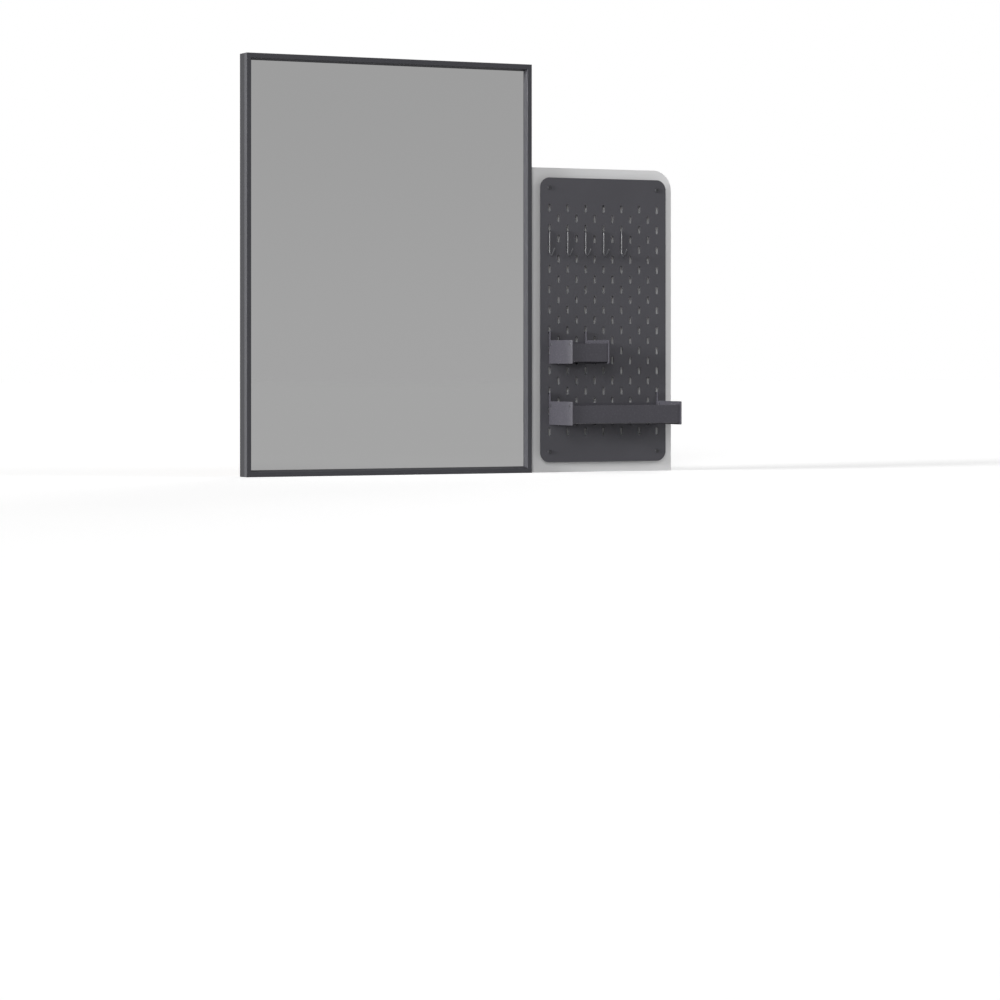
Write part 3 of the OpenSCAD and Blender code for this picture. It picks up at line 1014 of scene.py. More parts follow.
class GeometryTree(Graph):
    """A Geometry Nodes tree with named inputs, applied to one piece at a time."""

    def __init__(self, name: str) -> None:
        """Makes a tree that takes and gives geometry.

        Args:
            name: The tree's name.
        """
        super().__init__(bpy.data.node_groups.new(name, "GeometryNodeTree"))
        for way in ("INPUT", "OUTPUT"):
            self.tree.interface.new_socket(
                "Geometry", in_out=way, socket_type="NodeSocketGeometry"
            )
        self.entry = self.node("NodeGroupInput")
        self.source = Socket(self, self.entry.outputs["Geometry"])

    def takes(self, name: str, kind: str = "Float") -> Socket:
        """Adds a named input and returns it."""
        self.tree.interface.new_socket(name, in_out="INPUT", socket_type=f"NodeSocket{kind}")
        return Socket(self, self.entry.outputs[name])

    def named(self, name: str, kind: str) -> Socket:
        """An attribute of the geometry."""
        settings = {"data_type": kind}
        return self.out("GeometryNodeInputNamedAttribute", settings, {"Name": name}, "Attribute")

    def joined(self, *parts: Socket) -> Socket:
        """Joins several geometries.

        Args:
            parts: The geometries.

        Returns:
            All of them as one.
        """
        join = self.node("GeometryNodeJoinGeometry")
        for part in parts:
            self.tree.links.new(part.output, join.inputs[0])
        return Socket(self, join.outputs[0])

    def gives(self, geometry: Socket) -> None:
        """Ends the tree: real geometry with the material of the Material input.

        Args:
            geometry: What the tree has made.
        """
        real = self.out("GeometryNodeRealizeInstances", {}, {"Geometry": geometry})
        values = {"Geometry": real, "Material": self.takes("Material", "Material")}
        dressed = self.out("GeometryNodeSetMaterial", {}, values)
        self.node("NodeGroupOutput", {}, {"Geometry": dressed})

    def apply(self, piece: Piece, values: Settings) -> None:
        """Runs the tree on a piece and keeps the result as its plain mesh.

        Args:
            piece: The piece.
            values: The inputs' values by name.
        """
        modifier = piece.modifiers.new(self.tree.name, "NODES")
        modifier.node_group = self.tree
        sockets = self.tree.interface.items_tree
        known = {s.name: s.identifier for s in sockets if s.in_out == "INPUT"}
        for name, value in values.items():
            modifier[known[name]] = value
        bake_modifiers(piece)


class FastenerTree(GeometryTree):
    """Sets one pattern on every point, turned to the point's axis and spun at random."""

    def __init__(self) -> None:
        """Writes the tree."""
        super().__init__("fasteners on points")
        pattern = self.takes("Pattern", "Object")
        spin = self.takes("Most Spin")
        seed = self.takes("Seed", "Int")
        along = self.named(AXIS, "FLOAT_VECTOR")
        aimed = self.out("FunctionNodeAlignRotationToVector", {"axis": "Z"}, {"Vector": along})
        limits = {"Min": 0.0, "Max": spin, "Seed": seed}
        angle = self.out("FunctionNodeRandomValue", {"data_type": "FLOAT"}, limits)
        spun = self.out("ShaderNodeCombineXYZ", {}, {"Z": angle})
        own = self.out("FunctionNodeEulerToRotation", {}, {"Euler": spun})
        turned = self.out(
            "FunctionNodeRotateRotation",
            {"rotation_space": "LOCAL"},
            {"Rotation": aimed, "Rotate By": own},
        )
        shape = self.out("GeometryNodeObjectInfo", {}, {"Object": pattern}, "Geometry")
        values = {"Points": self.source, "Instance": shape, "Rotation": turned}
        self.gives(self.out("GeometryNodeInstanceOnPoints", {}, values))


class WireTree(GeometryTree):
    """Sweeps a round wire along the edges of a mesh."""

    def __init__(self) -> None:
        """Writes the tree."""
        super().__init__("wire along a path")
        sides = self.takes("Sides", "Int")
        curve = self.out("GeometryNodeMeshToCurve", {}, {"Mesh": self.source})
        radius = self.named(RADIUS, "FLOAT")
        circle = {"Resolution": sides, "Radius": 1.0}
        section = self.out("GeometryNodeCurvePrimitiveCircle", {}, circle)
        values = {"Curve": curve, "Profile Curve": section, "Scale": radius, "Fill Caps": True}
        tube = self.out("GeometryNodeCurveToMesh", {}, values)
        self.gives(self.out("GeometryNodeSetShadeSmooth", {}, {"Geometry": tube}))


class PerforatedSheetTree(GeometryTree):
    """A sheet with round corners and two interleaved grids of round-ended slots."""

    CORNER_STEPS = 12
    SLOT_STEPS = 6
    SLOT_ROUNDING = 0.4999  # just under half the width, so that a slot's two arcs don't meet
    HOLE_SIDES = 20

    def __init__(self) -> None:
        """Writes the tree."""
        super().__init__("perforated sheet")
        width, height, thick = (self.takes(name) for name in ("Width", "Height", "Thickness"))
        corner, pitch = self.takes("Corner Radius"), self.takes("Pitch")
        slot_width, slot_length = self.takes("Slot Width"), self.takes("Slot Length")
        columns, rows = self.takes("Columns", "Int"), self.takes("Rows", "Int")
        hole, inset = self.takes("Hole Radius"), self.takes("Hole Inset")
        end = slot_width * self.SLOT_ROUNDING
        sheet = self._rounded(width, height, corner, self.CORNER_STEPS)
        slot = self._rounded(slot_width, slot_length, end, self.SLOT_STEPS)
        main = self._grid(slot, columns, rows, pitch, pitch)
        between = self._grid(slot, columns - 1, rows - 1, pitch, pitch)
        circle = {"Resolution": self.HOLE_SIDES, "Radius": hole}
        round_hole = self.out("GeometryNodeCurvePrimitiveCircle", {}, circle)
        corners = self._grid(round_hole, 2, 2, width - inset * 2, height - inset * 2)
        outlines = self.joined(sheet, main, between, corners)
        real = self.out("GeometryNodeRealizeInstances", {}, {"Geometry": outlines})
        face = self.out("GeometryNodeFillCurve", {"mode": "NGONS"}, {"Curve": real})
        pulled = {"Mesh": face, "Offset Scale": thick, "Individual": False}
        walls = self.out("GeometryNodeExtrudeMesh", {}, pulled)
        back = self.out("GeometryNodeFlipFaces", {}, {"Mesh": face})
        both = {"Geometry": self.joined(walls, back), "Distance": MERGE}
        self.gives(self.out("GeometryNodeMergeByDistance", {}, both))

    def _rounded(self, width: Socket, height: Socket, radius: Socket, steps: int) -> Socket:
        """Draws a rectangle with round corners.

        Args:
            width: Its width.
            height: Its height.
            radius: The radius of its corners.
            steps: The points of a corner.

        Returns:
            Its outline.
        """
        size = {"Width": width, "Height": height}
        box = self.out("GeometryNodeCurvePrimitiveQuadrilateral", {}, size)
        values = {"Curve": box, "Count": steps, "Radius": radius}
        return self.out("GeometryNodeFilletCurve", {"mode": "POLY"}, values)

    def _grid(
        self, outline: Socket, columns: object, rows: object, pitch_x: Socket, pitch_y: Socket
    ) -> Socket:
        """Repeats an outline on a grid round the middle.

        Args:
            outline: The outline.
            columns: How many stand side by side.
            rows: How many stand one above the other.
            pitch_x: The distance from one column to the next.
            pitch_y: The distance from one row to the next.

        Returns:
            The outlines as instances.
        """
        size = {"Size X": (columns - 1) * pitch_x, "Size Y": (rows - 1) * pitch_y}
        counts = {"Vertices X": columns, "Vertices Y": rows}
        points = self.out("GeometryNodeMeshGrid", {}, {**size, **counts}, "Mesh")
        spread = {"Points": points, "Instance": outline}
        return self.out("GeometryNodeInstanceOnPoints", {}, spread)


def points_mesh(name: str, places: list[Place]) -> bpy.types.Mesh:
    """Makes a mesh of loose points that carry an axis.

    Args:
        name: The mesh's name.
        places: The place and the outward axis of each point.

    Returns:
        The mesh.
    """
    mesh = bpy.data.meshes.new(name)
    mesh.from_pydata([place for place, _ in places], [], [])
    axes = mesh.attributes.new(AXIS, "FLOAT_VECTOR", "POINT")
    axes.data.foreach_set("vector", [c for _, axis in places for c in axis])
    return mesh


# --------------------------------------------------------------------------
# Fasteners


@dataclass
class Turned:
    """A part round Z that is closed at both ends, drawn as rings in order."""

    sides: int = 24

    def shape(self) -> Shape:
        """Makes the part.

        Returns:
            One closed mesh with its faces outwards.
        """
        shape = bmesh.new()
        rings = [ring(radius, height, self.sides) for radius, height in self._stations()]
        self._cover(shape, rings)
        bmesh.ops.recalc_face_normals(shape, faces=shape.faces)
        return shape

    def _stations(self) -> list[Station]:
        """The radius and the height of each ring."""
        raise NotImplementedError

    def _cover(self, shape: Shape, rings: list[list[Vector]]) -> None:
        """Covers the rings and closes both ends.

        Args:
            shape: The BMesh that gets the faces.
            rings: The rings, in order.
        """
        rows = skin(shape, rings)
        shape.faces.new(rows[0])
        shape.faces.new(rows[-1])


@dataclass
class Tube(Turned):
    """A part round Z with a bore, whose last ring joins the first."""

    def _cover(self, shape: Shape, rings: list[list[Vector]]) -> None:
        """Covers the rings outside and inside."""
        skin(shape, rings, closed=True)


@dataclass
class CrossHeadScrew(Turned):
    """A screw with a tapered cross recess in the flat top of its head.

    The two shares say how much of the cross is left at its floor.
    """

    recess_reach: float = 1.6 * MM
    recess_half_width: float = 0.42 * MM
    recess_depth: float = 1.0 * MM
    reach_share: float = 0.5
    width_share: float = 0.7

    def _cover(self, shape: Shape, rings: list[list[Vector]]) -> None:
        """Covers the rings, closes the tip and sinks the recess into the top.

        Args:
            shape: The BMesh that gets the faces.
            rings: The rings, from the head's top to the tip.
        """
        rows = skin(shape, rings)
        shape.faces.new(rows[-1])
        top, reach, half = rings[0][0].z, self.recess_reach, self.recess_half_width
        mouth = cross_outline(reach, half, top)
        low, narrow = top - self.recess_depth, half * self.width_share
        floor = cross_outline(reach * self.reach_share, narrow, low)
        cross = skin(shape, [mouth, floor])
        shape.faces.new(cross[-1])
        loops = [
            shape.edges.get((vert, row[i - 1]))
            for row in (rows[0], cross[0])
            for i, vert in enumerate(row)
        ]
        bmesh.ops.triangle_fill(shape, use_beauty=True, use_dissolve=False, edges=loops)


@dataclass
class CountersunkScrew(CrossHeadScrew):
    """A small countersunk wood screw, its head at Z = 0 and its tip below."""

    sides: int = 16
    head_radius: float = 3.0 * MM
    head_height: float = 1.6 * MM
    shank_radius: float = 1.5 * MM
    length: float = 11.0 * MM
    pitch: float = 1.3 * MM

    def _stations(self) -> list[Station]:
        """From the head's top to the tip.

        Returns:
            The radius and the height of each ring.
        """
        head, shank = self.head_radius, self.shank_radius
        neck, tip = -self.head_height, -self.length
        return [
            (head * 0.965, 0.0),
            (head, -0.1 * MM),
            (shank, neck),
            (shank * 0.78, neck - 0.5 * MM),
            *thread(shank, shank * 0.68, self.pitch, neck - 0.7 * MM, tip + 1.6 * MM),
            (shank * 0.5, tip + 0.9 * MM),
            (shank * 0.08, tip),
        ]


@dataclass
class PanHeadScrew(CrossHeadScrew):
    """A long pan-head screw, the underside of its head at Z = 0.

    The dome is drawn as shares of the head's radius and height.
    """

    recess_reach: float = 2.3 * MM
    recess_half_width: float = 0.5 * MM
    recess_depth: float = 1.3 * MM
    head_radius: float = 4.5 * MM
    head_height: float = 2.2 * MM
    shank_radius: float = 2.0 * MM
    length: float = 26.0 * MM
    thread_length: float = 14.0 * MM
    pitch: float = 1.8 * MM
    dome: tuple[tuple[float, float], ...] = (
        (0.60, 1.0), (0.74, 0.96), (0.87, 0.86), (0.955, 0.70),
        (0.99, 0.52), (1.0, 0.34), (1.0, 0.06), (0.97, 0.0),
    )

    def _stations(self) -> list[Station]:
        """From the head's top to the tip.

        Returns:
            The radius and the height of each ring.
        """
        shank, tip = self.shank_radius, -self.length
        start = -(self.length - self.thread_length)
        return [
            *((self.head_radius * r, self.head_height * h) for r, h in self.dome),
            (shank, 0.0),
            (shank, start),
            *thread(shank, shank * 0.72, self.pitch, start, tip + 2.2 * MM),
            (shank * 0.5, tip + 1.0 * MM),
            (shank * 0.08, tip),
        ]


@dataclass
class Rivet(Turned):
    """A domed rivet; Z = 0 is the middle of the end plate, with the dome above it.

    The dome is drawn as shares of the head's radius and height.
    """

    head_radius: float = 2.5 * MM
    head_height: float = 1.0 * MM
    shank_radius: float = 1.6 * MM
    grip_out: float = 1.0 * MM
    grip_in: float = 2.5 * MM
    tail_radius: float = 2.0 * MM
    tail_height: float = 0.5 * MM
    dome: tuple[tuple[float, float], ...] = (
        (0.06, 1.0), (0.35, 0.96), (0.62, 0.84), (0.83, 0.62),
        (0.95, 0.34), (1.0, 0.08), (0.98, 0.0),
    )

    def _stations(self) -> list[Station]:
        """From the top of the dome to the tail.

        Returns:
            The radius and the height of each ring.
        """
        foot, tail = -self.grip_in, self.tail_radius
        return [
            *((self.head_radius * r, self.grip_out + self.head_height * h) for r, h in self.dome),
            (self.shank_radius, self.grip_out),
            (self.shank_radius, foot),
            (tail, foot),
            (tail, foot - self.tail_height * 0.6),
            (tail * 0.75, foot - self.tail_height),
        ]


@dataclass
class ThreadedInsert(Tube):
    """A screw-in insert with a threaded bore, its open face at Z = 0 and its body below."""

    radius: float = 4.0 * MM
    bore: float = 2.5 * MM
    length: float = 12.0 * MM
    outer_pitch: float = 2.2 * MM
    inner_pitch: float = 1.0 * MM

    def _stations(self) -> list[Station]:
        """Down the outside and up the bore.

        Returns:
            The radius and the height of each ring.
        """
        outer, bore, foot = self.radius, self.bore, -self.length
        return [
            (outer * 0.93, 0.0),
            *thread(outer, outer * 0.86, self.outer_pitch, -0.3 * MM, foot + 1.2 * MM),
            (outer * 0.84, foot),
            (bore * 1.12, foot),
            *thread(bore, bore * 1.14, self.inner_pitch, foot + 0.5 * MM, -0.8 * MM),
            (bore * 1.2, 0.0),
        ]


@dataclass
class Spacer(Tube):
    """A plastic tube that holds the board off the panel, below Z = 0."""

    sides: int = 32
    radius: float = 6.0 * MM
    bore: float = 2.1 * MM
    top: float = -2.0 * MM
    length: float = 12.0 * MM
    ease: float = 0.5 * MM

    def _stations(self) -> list[Station]:
        """Down the outside; the bore closes the way up.

        Returns:
            The radius and the height of each ring.
        """
        top, foot, ease = self.top, self.top - self.length, self.ease
        return [
            (self.bore, top),
            (self.radius - ease, top),
            (self.radius, top - ease),
            (self.radius, foot + ease),
            (self.radius - ease, foot),
            (self.bore, foot),
        ]


@dataclass
class Dowel(Turned):
    """A fluted dowel along Z, centred on Z = 0, with eased ends."""

    sides: int = 64
    radius: float = 3.0 * MM
    length: float = 28.0 * MM
    flutes: int = 16
    flute_depth: float = 0.16 * MM
    ease: float = 0.8 * MM

    def _stations(self) -> list[Station]:
        """From the lower end to the upper.

        Returns:
            The radius and the height of each ring.
        """
        half, ease = self.length / 2, self.ease
        return [
            (self.radius - ease, -half),
            (self._fluted, ease - half),
            (self._fluted, half - ease),
            (self.radius - ease, half),
        ]

    def _fluted(self, angle: float) -> float:
        """The radius at an angle, with its flutes."""
        return self.radius - self.flute_depth * (0.5 + 0.5 * math.cos(self.flutes * angle))


class FastenerKit:
    """Sets patterns on points through one shared tree."""

    def __init__(self) -> None:
        """Writes the tree."""
        self.tree = FastenerTree()

    def lay(
        self,
        node: str,
        body: str,
        slot: str,
        pattern: Turned,
        places: list[Place],
        finish: Finish,
        seed: int,
    ) -> None:
        """Makes one piece of many equal fasteners.

        Args:
            node: The node that it stands for.
            body: The body that it moves with.
            slot: Not used.
            pattern: The fastener, drawn along Z.
            places: The place and the outward axis of each.
            finish: Their finish.
            seed: The seed of their spin.
        """
        model = new_piece(f"{node}_pattern", mesh_of(node, pattern.shape()), finish)
        piece = new_piece(f"{node}_look", points_mesh(node, places), finish)
        material = finish.material()
        self.tree.apply(
            piece, {"Pattern": model, "Most Spin": TURN, "Seed": seed, "Material": material}
        )
        bpy.data.objects.remove(model)
        settle(piece, body, node)


# --------------------------------------------------------------------------
# Sub-assemblies


@dataclass
class MirrorFrame:
    """Metal trims on the front and carrier rails behind them, both mitred."""

    trim_ease: float = 0.22 * MM
    rail_ease: float = 0.25 * MM

    def build(self) -> None:
        """Makes the four trims and the four rails."""
        across = ("bottom", "top")
        for side in ("left", "right", *across):
            foil = RAIL_FOIL_ACROSS if side in across else RAIL_FOIL_UPRIGHT
            softened(f"trim_{side}", "unit", "frame_metal", self.trim_ease, DARK_FRAME)
            softened(f"rail_{side}", "unit", "rail_foil", self.rail_ease, foil)


@dataclass
class MirrorPack:
    """The glass with its packing and the cover that closes the back."""

    glass_ease: float = 0.5 * MM
    cover_ease: float = 0.3 * MM

    def build(self) -> None:
        """Makes the glass and the cover, and dresses the packing."""
        softened(
            "mirror_glass", "unit", "mirror_glass", self.glass_ease,
            SILVER, CUT_GLASS, BACKING, choose=self._glass_side,
        )
        softened("back_cover", "unit", "hardboard", self.cover_ease, FIBREBOARD)
        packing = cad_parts["packing_sheet"].data
        packing.materials.clear()
        packing.materials.append(PACKING.material())

    @staticmethod
    def _glass_side(normal: Vector) -> int:
        """Puts silver in front, paint behind and ground glass round the edge.

        Args:
            normal: A face's normal.

        Returns:
            The number of the face's finish.
        """
        if abs(normal.y) <= FACING:
            return 1
        return 2 if normal.y > 0 else 0


@dataclass
class CornerJoints:
    """Steel brackets let into the back of the frame's corners, with their screws."""

    kit: FastenerKit
    plate_ease: float = 0.25 * MM
    seed: int = 11

    def build(self) -> None:
        """Makes the brackets and all the screws of the frame's back."""
        softened("corner_brackets", "unit", "zinc_steel", self.plate_ease, ZINC)
        for offset, node in enumerate(("bracket_screws", "cover_screws")):
            heads = places_on(node, BACKWARDS)
            self.kit.lay(
                node, "unit", "zinc_steel", CountersunkScrew(), heads, ZINC_SCREW,
                self.seed + offset,
            )


@dataclass
class BaseFixings:
    """Threaded inserts in the base of the mirror and of the side panel."""

    kit: FastenerKit
    seed: int = 21

    def build(self) -> None:
        """Makes the inserts."""
        node = "base_inserts"
        mouths = places_on(node, DOWN)
        self.kit.lay(node, "unit", "insert_brass", ThreadedInsert(), mouths, BRASS, self.seed)


@dataclass
class SidePanel:
    """The laminated panel, its edging, and the plates and dowels that join it to the mirror."""

    kit: FastenerKit
    panel_ease: float = 0.2 * MM
    edging_ease: float = 0.35 * MM
    plate_ease: float = 0.25 * MM
    seed: int = 31

    def build(self) -> None:
        """Makes the panel with everything that joins it to the mirror."""
        softened(
            "side_panel", "unit", "panel_laminate", self.panel_ease,
            WHITE_FILM, CORE, choose=self._panel_side,
        )
        softened("panel_edging", "unit", "edging_plastic", self.edging_ease, WHITE_EDGING)
        softened("joining_plates", "unit", "zinc_steel", self.plate_ease, ZINC)
        screws, dowels = "joining_screws", "joining_dowels"
        heads = places_on(screws, BACKWARDS)
        self.kit.lay(
            screws, "unit", "zinc_steel", CountersunkScrew(), heads, ZINC_SCREW, self.seed
        )
        middles = [((low + high) / 2, Vector((1, 0, 0))) for low, high in loose_parts(dowels)]
        self.kit.lay(dowels, "unit", "beech", Dowel(), middles, BEECH, self.seed + 1)

    @staticmethod
    def _panel_side(normal: Vector) -> int:
        """Film on the two broad faces and the raw core elsewhere."""
        return 0 if abs(normal.y) > FACING else 1


@dataclass
class SlottedBoard:
    """The perforated metal board on its spacers, with the screws that hold it."""

    kit: FastenerKit
    corner_radius: float = 20.0 * MM
    slot_width: float = 5.0 * MM
    slot_length: float = 15.0 * MM
    pitch: float = 40.0 * MM
    columns: int = 7
    rows: int = 12
    hole_radius: float = 2.1 * MM
    hole_inset: float = 20.0 * MM
    edge_ease: float = 0.3 * MM
    seed: int = 41

    def build(self) -> None:
        """Makes the board, the spacers and the screws."""
        settle(self._board(), "unit", "slotted_board")
        low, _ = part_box("slotted_board")
        heads = places_on("board_screws", FORWARDS, low.y)
        self.kit.lay(
            "board_spacers", "unit", "black_plastic", Spacer(), heads, BLACK_PLASTIC, self.seed
        )
        self.kit.lay(
            "board_screws", "unit", "black_screw", PanHeadScrew(), heads, BLACK_SCREW,
            self.seed + 1,
        )

    def _board(self) -> Piece:
        """Draws the board flat by its tree, stands it upright and eases every edge.

        Returns:
            The board, not yet tied to a body.
        """
        node = "slotted_board"
        low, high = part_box(node)
        piece = new_piece(f"{node}_look", bpy.data.meshes.new(node), DARK_BOARD)
        sizes = {
            "Width": high.x - low.x,
            "Height": high.z - low.z,
            "Thickness": high.y - low.y,
            "Corner Radius": self.corner_radius,
            "Slot Width": self.slot_width,
            "Slot Length": self.slot_length,
            "Pitch": self.pitch,
            "Columns": self.columns,
            "Rows": self.rows,
            "Hole Radius": self.hole_radius,
            "Hole Inset": self.hole_inset,
        }
        PerforatedSheetTree().apply(piece, {**sizes, "Material": DARK_BOARD.material()})
        shape = bmesh.new()
        shape.from_mesh(piece.data)
        middle = (low + high) / 2
        place = Matrix.Translation((middle.x, high.y, middle.z))
        upright = place @ Matrix.Rotation(TURN / 4, 4, "X")
        bmesh.ops.transform(shape, matrix=upright, verts=shape.verts)
        bmesh.ops.dissolve_limit(
            shape, angle_limit=FLAT_ANGLE, verts=shape.verts, edges=shape.edges
        )
        round_edges(shape, self.edge_ease)
        piece.data = mesh_of(node, shape)
        piece.data.materials.append(DARK_BOARD.material())
        keep_flats(piece)
        return piece


@dataclass
class WireHook:
    """A wire hook: a leg behind the board, a seat, a long stem and an upturned tip.

    The rounded ends are drawn at end_stops from the wire's ends.
    """

    tree: WireTree
    number: int
    wire: float = 1.5 * MM
    seat_radius: float = 2.8 * MM
    leg: float = 9.0 * MM
    drop: float = 38.0 * MM
    bend_radius: float = 7.0 * MM
    bend_angle: float = 140.0
    tip: float = 14.5 * MM
    end_stops: tuple[float, ...] = tuple(
        stop * MM for stop in (0.03, 0.12, 0.3, 0.55, 0.85, 1.2, 1.5)
    )
    seat_steps: int = 14
    bend_steps: int = 18
    sides: int = 20

    def build(self) -> None:
        """Makes the hook."""
        node = f"hook_{self.number}"
        path = self._path()
        low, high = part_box(node)
        reach = self.seat_radius + self.wire
        seat = Vector(((low.x + high.x) / 2, high.y - reach, high.z - reach))
        mesh = bpy.data.meshes.new(node)
        places = [seat + Vector((0, -forward, up)) for forward, up in path]
        mesh.from_pydata(places, [(i, i + 1) for i in range(len(places) - 1)], [])
        radii = mesh.attributes.new(RADIUS, "FLOAT", "POINT")
        radii.data.foreach_set("value", self._radii(path))
        piece = new_piece(f"{node}_look", mesh, DARK_HOOK)
        self.tree.apply(piece, {"Sides": self.sides, "Material": DARK_HOOK.material()})
        settle(piece, f"{node}_body", node)

    def _path(self) -> list[tuple[float, float]]:
        """Draws the wire's centre line.

        Returns:
            Its points from the leg to the tip, as distances forward of the seat's centre and up.
        """
        seat, bend = self.seat_radius, self.bend_radius
        path = [(-seat, end - self.leg) for end in self.end_stops]
        path += arc((0.0, 0.0), seat, 180.0, 0.0, self.seat_steps)
        turned = 180.0 + self.bend_angle
        path += arc((seat + bend, -self.drop), bend, 180.0, turned, self.bend_steps)
        slope = math.radians(self.bend_angle - 90.0)
        foot = path[-1]
        for end in reversed(self.end_stops):
            far = self.tip - end
            path.append((foot[0] + far * math.cos(slope), foot[1] + far * math.sin(slope)))
        return path

    def _radii(self, path: list[tuple[float, float]]) -> list[float]:
        """Rounds the wire off at both ends.

        Args:
            path: The wire's centre line.

        Returns:
            Its radius at each point.
        """
        lengths = [0.0]
        for first, second in zip(path, path[1:]):
            lengths.append(lengths[-1] + math.dist(first, second))
        start = self.end_stops[0]
        nearest = [min(far, lengths[-1] - far) + start for far in lengths]
        return [math.sqrt(self.wire**2 - max(0.0, self.wire - far) ** 2) for far in nearest]


def arc(
    centre: tuple[float, float], radius: float, start: float, end: float, steps: int
) -> list[tuple[float, float]]:
    """Draws an arc.

    Args:
        centre: Its centre.
        radius: Its radius.
        start: The angle where it starts, in degrees.
        end: The angle where it ends.
        steps: The steps between the two.

    Returns:
        Its points, both ends among them.
    """
    angles = [math.radians(start + (end - start) * i / steps) for i in range(steps + 1)]
    return [(centre[0] + radius * math.cos(a), centre[1] + radius * math.sin(a)) for a in angles]


@dataclass
class HungTray:
    """A folded trough between two end plates that hang in the slots, joined by rivets.

    An edge counts as long from long_share of the trough's length. A rivet belongs to
    the end plate that is within plate_reach of its middle.
    """

    kit: FastenerKit
    name: str
    seed: int
    sheet_ease: float = 0.25 * MM
    plate_ease: float = 0.3 * MM
    hem_thickness: float = 3.0 * MM
    fold_ease: float = 1.25 * MM
    long_share: float = 0.7
    slack: float = 0.1 * MM
    plate_reach: float = 5.0 * MM

    def build(self) -> None:
        """Makes the trough, the end plates and the rivets."""
        softened(
            f"{self.name}_trough", self.name, "tray_metal", self.sheet_ease,
            DARK_TRAY, refine=self._fold_hem,
        )
        for side in ("left", "right"):
            node = f"{self.name}_end_{side}"
            softened(node, self.name, "tray_metal", self.plate_ease, DARK_TRAY)
        node = f"{self.name}_rivets"
        places = self._rivet_places(node)
        self.kit.lay(node, self.name, "rivet_metal", Rivet(), places, RIVET_METAL, self.seed)

    def _fold_hem(self, shape: Shape) -> None:
        """Rounds the front wall's top, where the sheet folds back into a hem.

        Args:
            shape: The trough, before its other edges are rounded.
        """
        across = [vert.co.x for vert in shape.verts]
        length = (max(across) - min(across)) * self.long_share
        front = min(vert.co.y for vert in shape.verts) + self.hem_thickness + self.slack
        long = []
        for edge in shape.edges:
            first, second = (vert.co for vert in edge.verts)
            if abs(first.x - second.x) > length and max(first.y, second.y) < front:
                long.append(edge)
        top = max(edge.verts[0].co.z for edge in long)
        fold = [edge for edge in long if edge.verts[0].co.z > top - self.slack]
        bmesh.ops.bevel(
            shape, geom=fold, offset=self.fold_ease, offset_type="OFFSET",
            segments=FOLD_SEGMENTS, profile=0.5, affect="EDGES", clamp_overlap=False,
        )

    def _rivet_places(self, node: str) -> list[Place]:
        """Finds where each rivet goes through its end plate.

        Args:
            node: The rivets' node.

        Returns:
            The middle of the plate and the way out, for each.
        """
        places = []
        for side, way in (("left", -1.0), ("right", 1.0)):
            low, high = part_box(f"{self.name}_end_{side}")
            plate = (low.x + high.x) / 2
            for a, b in loose_parts(node):
                if abs((a.x + b.x) / 2 - plate) < self.plate_reach:
                    middle = Vector((plate, (a.y + b.y) / 2, (a.z + b.z) / 2))
                    places.append((middle, Vector((way, 0, 0))))
        return places


# --------------------------------------------------------------------------
# Studio


@dataclass(frozen=True)
class Lamp:
    """A soft lamp far away.

    The level is how bright a white surface that faces the lamp becomes under it.
    The azimuth is counted from the unit's front, towards its right.
    """

    name: str
    level: float
    azimuth: float
    elevation: float
    softness: float

    def hang(self) -> None:
        """Makes the lamp."""
        light = bpy.data.lights.new(self.name, "SUN")
        light.energy = self.level * math.pi
        light.angle = math.radians(self.softness)
        lamp = bpy.data.objects.new(self.name, light)
        turn, rise = math.radians(self.azimuth), math.radians(self.elevation)
        flat = math.cos(rise)
        source = Vector((math.sin(turn) * flat, -math.cos(turn) * flat, math.sin(rise)))
        lamp.rotation_mode = "QUATERNION"
        lamp.rotation_quaternion = source.to_track_quat("Z", "Y")
        bpy.context.scene.collection.objects.link(lamp)


@dataclass(frozen=True)
class Viewpoint:
    """A level camera left of the unit's front, with its picture shifted up."""

    place: Point = (-2.8395, -5.9949, 0.2158)
    turn: float = -25.9925
    focal_length: float = 122.557
    sensor_width: float = 36.0
    shift_up: float = -0.13727
    reach: float = 200.0

    def set_up(self, scene: bpy.types.Scene) -> None:
        """Makes the scene's camera.

        Args:
            scene: The scene.
        """
        lens = bpy.data.cameras.new("camera")
        lens.lens = self.focal_length
        lens.sensor_width = self.sensor_width
        lens.shift_y = self.shift_up
        lens.clip_end = self.reach
        camera = bpy.data.objects.new("camera", lens)
        camera.location = self.place
        camera.rotation_euler = (math.radians(90), 0.0, math.radians(self.turn))
        scene.collection.objects.link(camera)
        scene.camera = camera


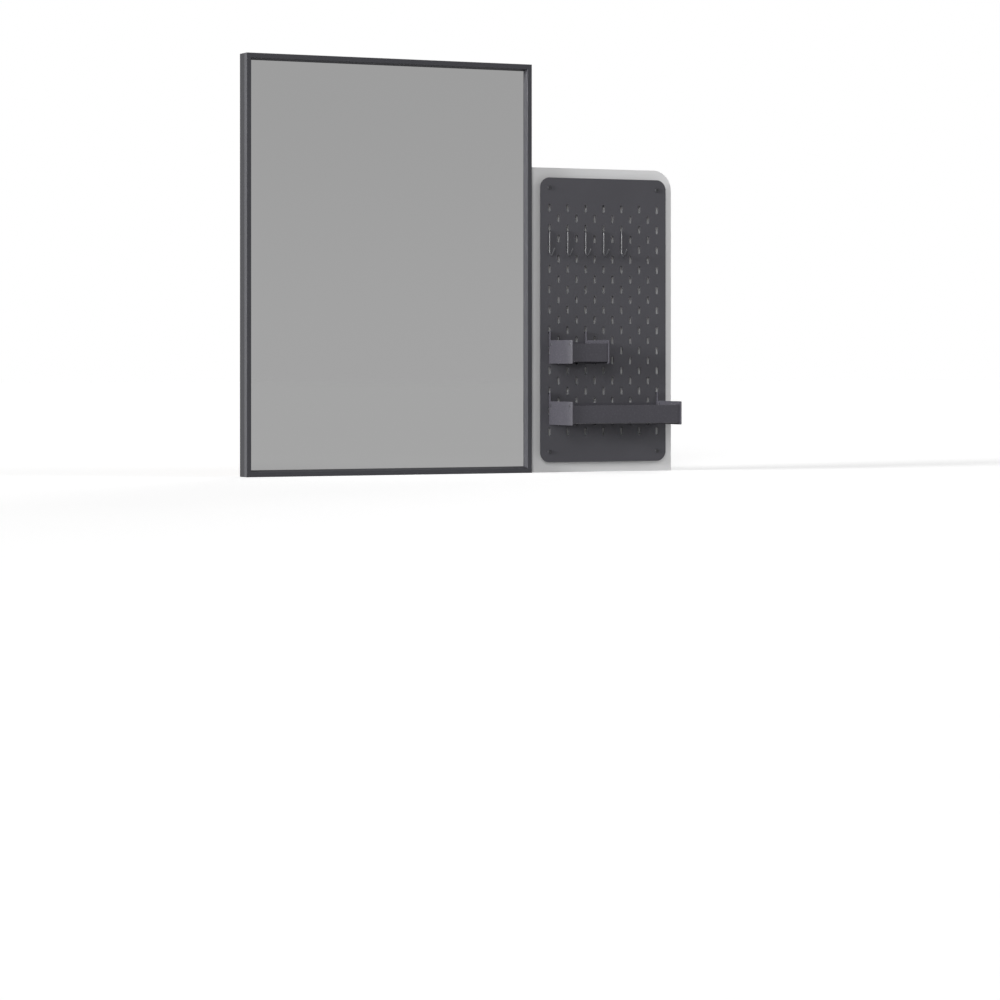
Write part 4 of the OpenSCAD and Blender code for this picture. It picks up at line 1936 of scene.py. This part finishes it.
@dataclass
class Studio:
    """The pale floor, the white surroundings, soft lamps and the camera."""

    lamps: tuple[Lamp, ...] = (
        Lamp("side_lamp", 1.55, -82.0, 9.0, 14.0),
        Lamp("front_lamp", 0.24, -32.0, 19.0, 16.0),
        Lamp("low_lamp", 0.21, -31.0, 4.0, 16.0),
        Lamp("fill_lamp", 0.10, 50.0, 30.0, 20.0),
        Lamp("rear_lamp", 0.42, 138.0, 9.0, 30.0),
    )
    viewpoint: Viewpoint = Viewpoint()
    room_light: float = 0.16
    floor_size: float = 60.0
    floor_drop: float = 0.1 * MM
    floor_colour: Colour = (0.84, 0.84, 0.84)
    floor_lift: float = 0.50

    def build(self) -> None:
        """Makes everything round the unit."""
        scene = bpy.context.scene
        scene.view_settings.view_transform = "Standard"
        self.viewpoint.set_up(scene)
        for lamp in self.lamps:
            lamp.hang()
        self._world(scene)
        self._floor()

    def _seen(self, graph: Graph) -> Socket:
        """Tells what is looked at from what only lights the unit.

        Args:
            graph: The tree that asks.

        Returns:
            1 for what the camera, a reflection or clear glass sees, 0 for plain light.
        """
        rays = graph.node("ShaderNodeLightPath").outputs
        camera, mirrored, through = (
            Socket(graph, rays[f"Is {kind} Ray"]) for kind in ("Camera", "Glossy", "Transmission")
        )
        any_of = {0: camera + mirrored + through, 1: 1.0}
        return graph.out("ShaderNodeMath", {"operation": "MINIMUM"}, any_of)

    def _world(self, scene: bpy.types.Scene) -> None:
        """Makes surroundings that are white to look at and give a plain dim light.

        Args:
            scene: The scene.
        """
        world = bpy.data.worlds.new("studio")
        world.use_nodes = True
        world.node_tree.nodes.clear()
        graph = Graph(world.node_tree)
        strength = self._seen(graph) * (1 - self.room_light) + self.room_light
        light = graph.out("ShaderNodeBackground", {}, {"Color": WHITE, "Strength": strength})
        graph.node("ShaderNodeOutputWorld", {}, {"Surface": light})
        scene.world = world

    def _floor(self) -> None:
        """A pale floor that reads white and keeps the unit's shadow."""
        shape = bmesh.new()
        bmesh.ops.create_grid(shape, x_segments=6, y_segments=6, size=self.floor_size / 2)
        bmesh.ops.translate(shape, verts=shape.verts, vec=(0, 0, -self.floor_drop))
        mesh = bpy.data.meshes.new("floor")
        shape.to_mesh(mesh)
        shape.free()
        floor = bpy.data.objects.new("floor", mesh)
        bpy.context.scene.collection.objects.link(floor)
        material = bpy.data.materials.new("pale_floor")
        material.use_nodes = True
        material.node_tree.nodes.clear()
        graph = Surface(material.node_tree)
        colour = graph.shades(self.floor_colour, 0.99, 1.01, graph.noise(3.0, 3.0))
        matt = graph.out("ShaderNodeBsdfDiffuse", {}, {"Color": colour})
        glow = {"Color": WHITE, "Strength": self._seen(graph) * self.floor_lift}
        lift = graph.out("ShaderNodeEmission", {}, glow)
        both = graph.out("ShaderNodeAddShader", {}, {0: matt, 1: lift})
        graph.node("ShaderNodeOutputMaterial", {}, {"Surface": both})
        mesh.materials.append(material)


def write_sizes() -> None:
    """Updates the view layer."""
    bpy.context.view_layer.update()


def main() -> None:
    """Builds the studio and the unit, piece by piece."""
    logging.basicConfig(level=logging.INFO, format="%(name)s: %(message)s")
    Studio().build()
    kit, wire = FastenerKit(), WireTree()
    MirrorFrame().build()
    MirrorPack().build()
    CornerJoints(kit).build()
    BaseFixings(kit).build()
    SidePanel(kit).build()
    SlottedBoard(kit).build()
    for number in range(1, 6):
        WireHook(wire, number).build()
    HungTray(kit, "short_tray", 51).build()
    HungTray(kit, "long_tray", 61).build()
    write_sizes()


if __name__ == "__main__":
    main()
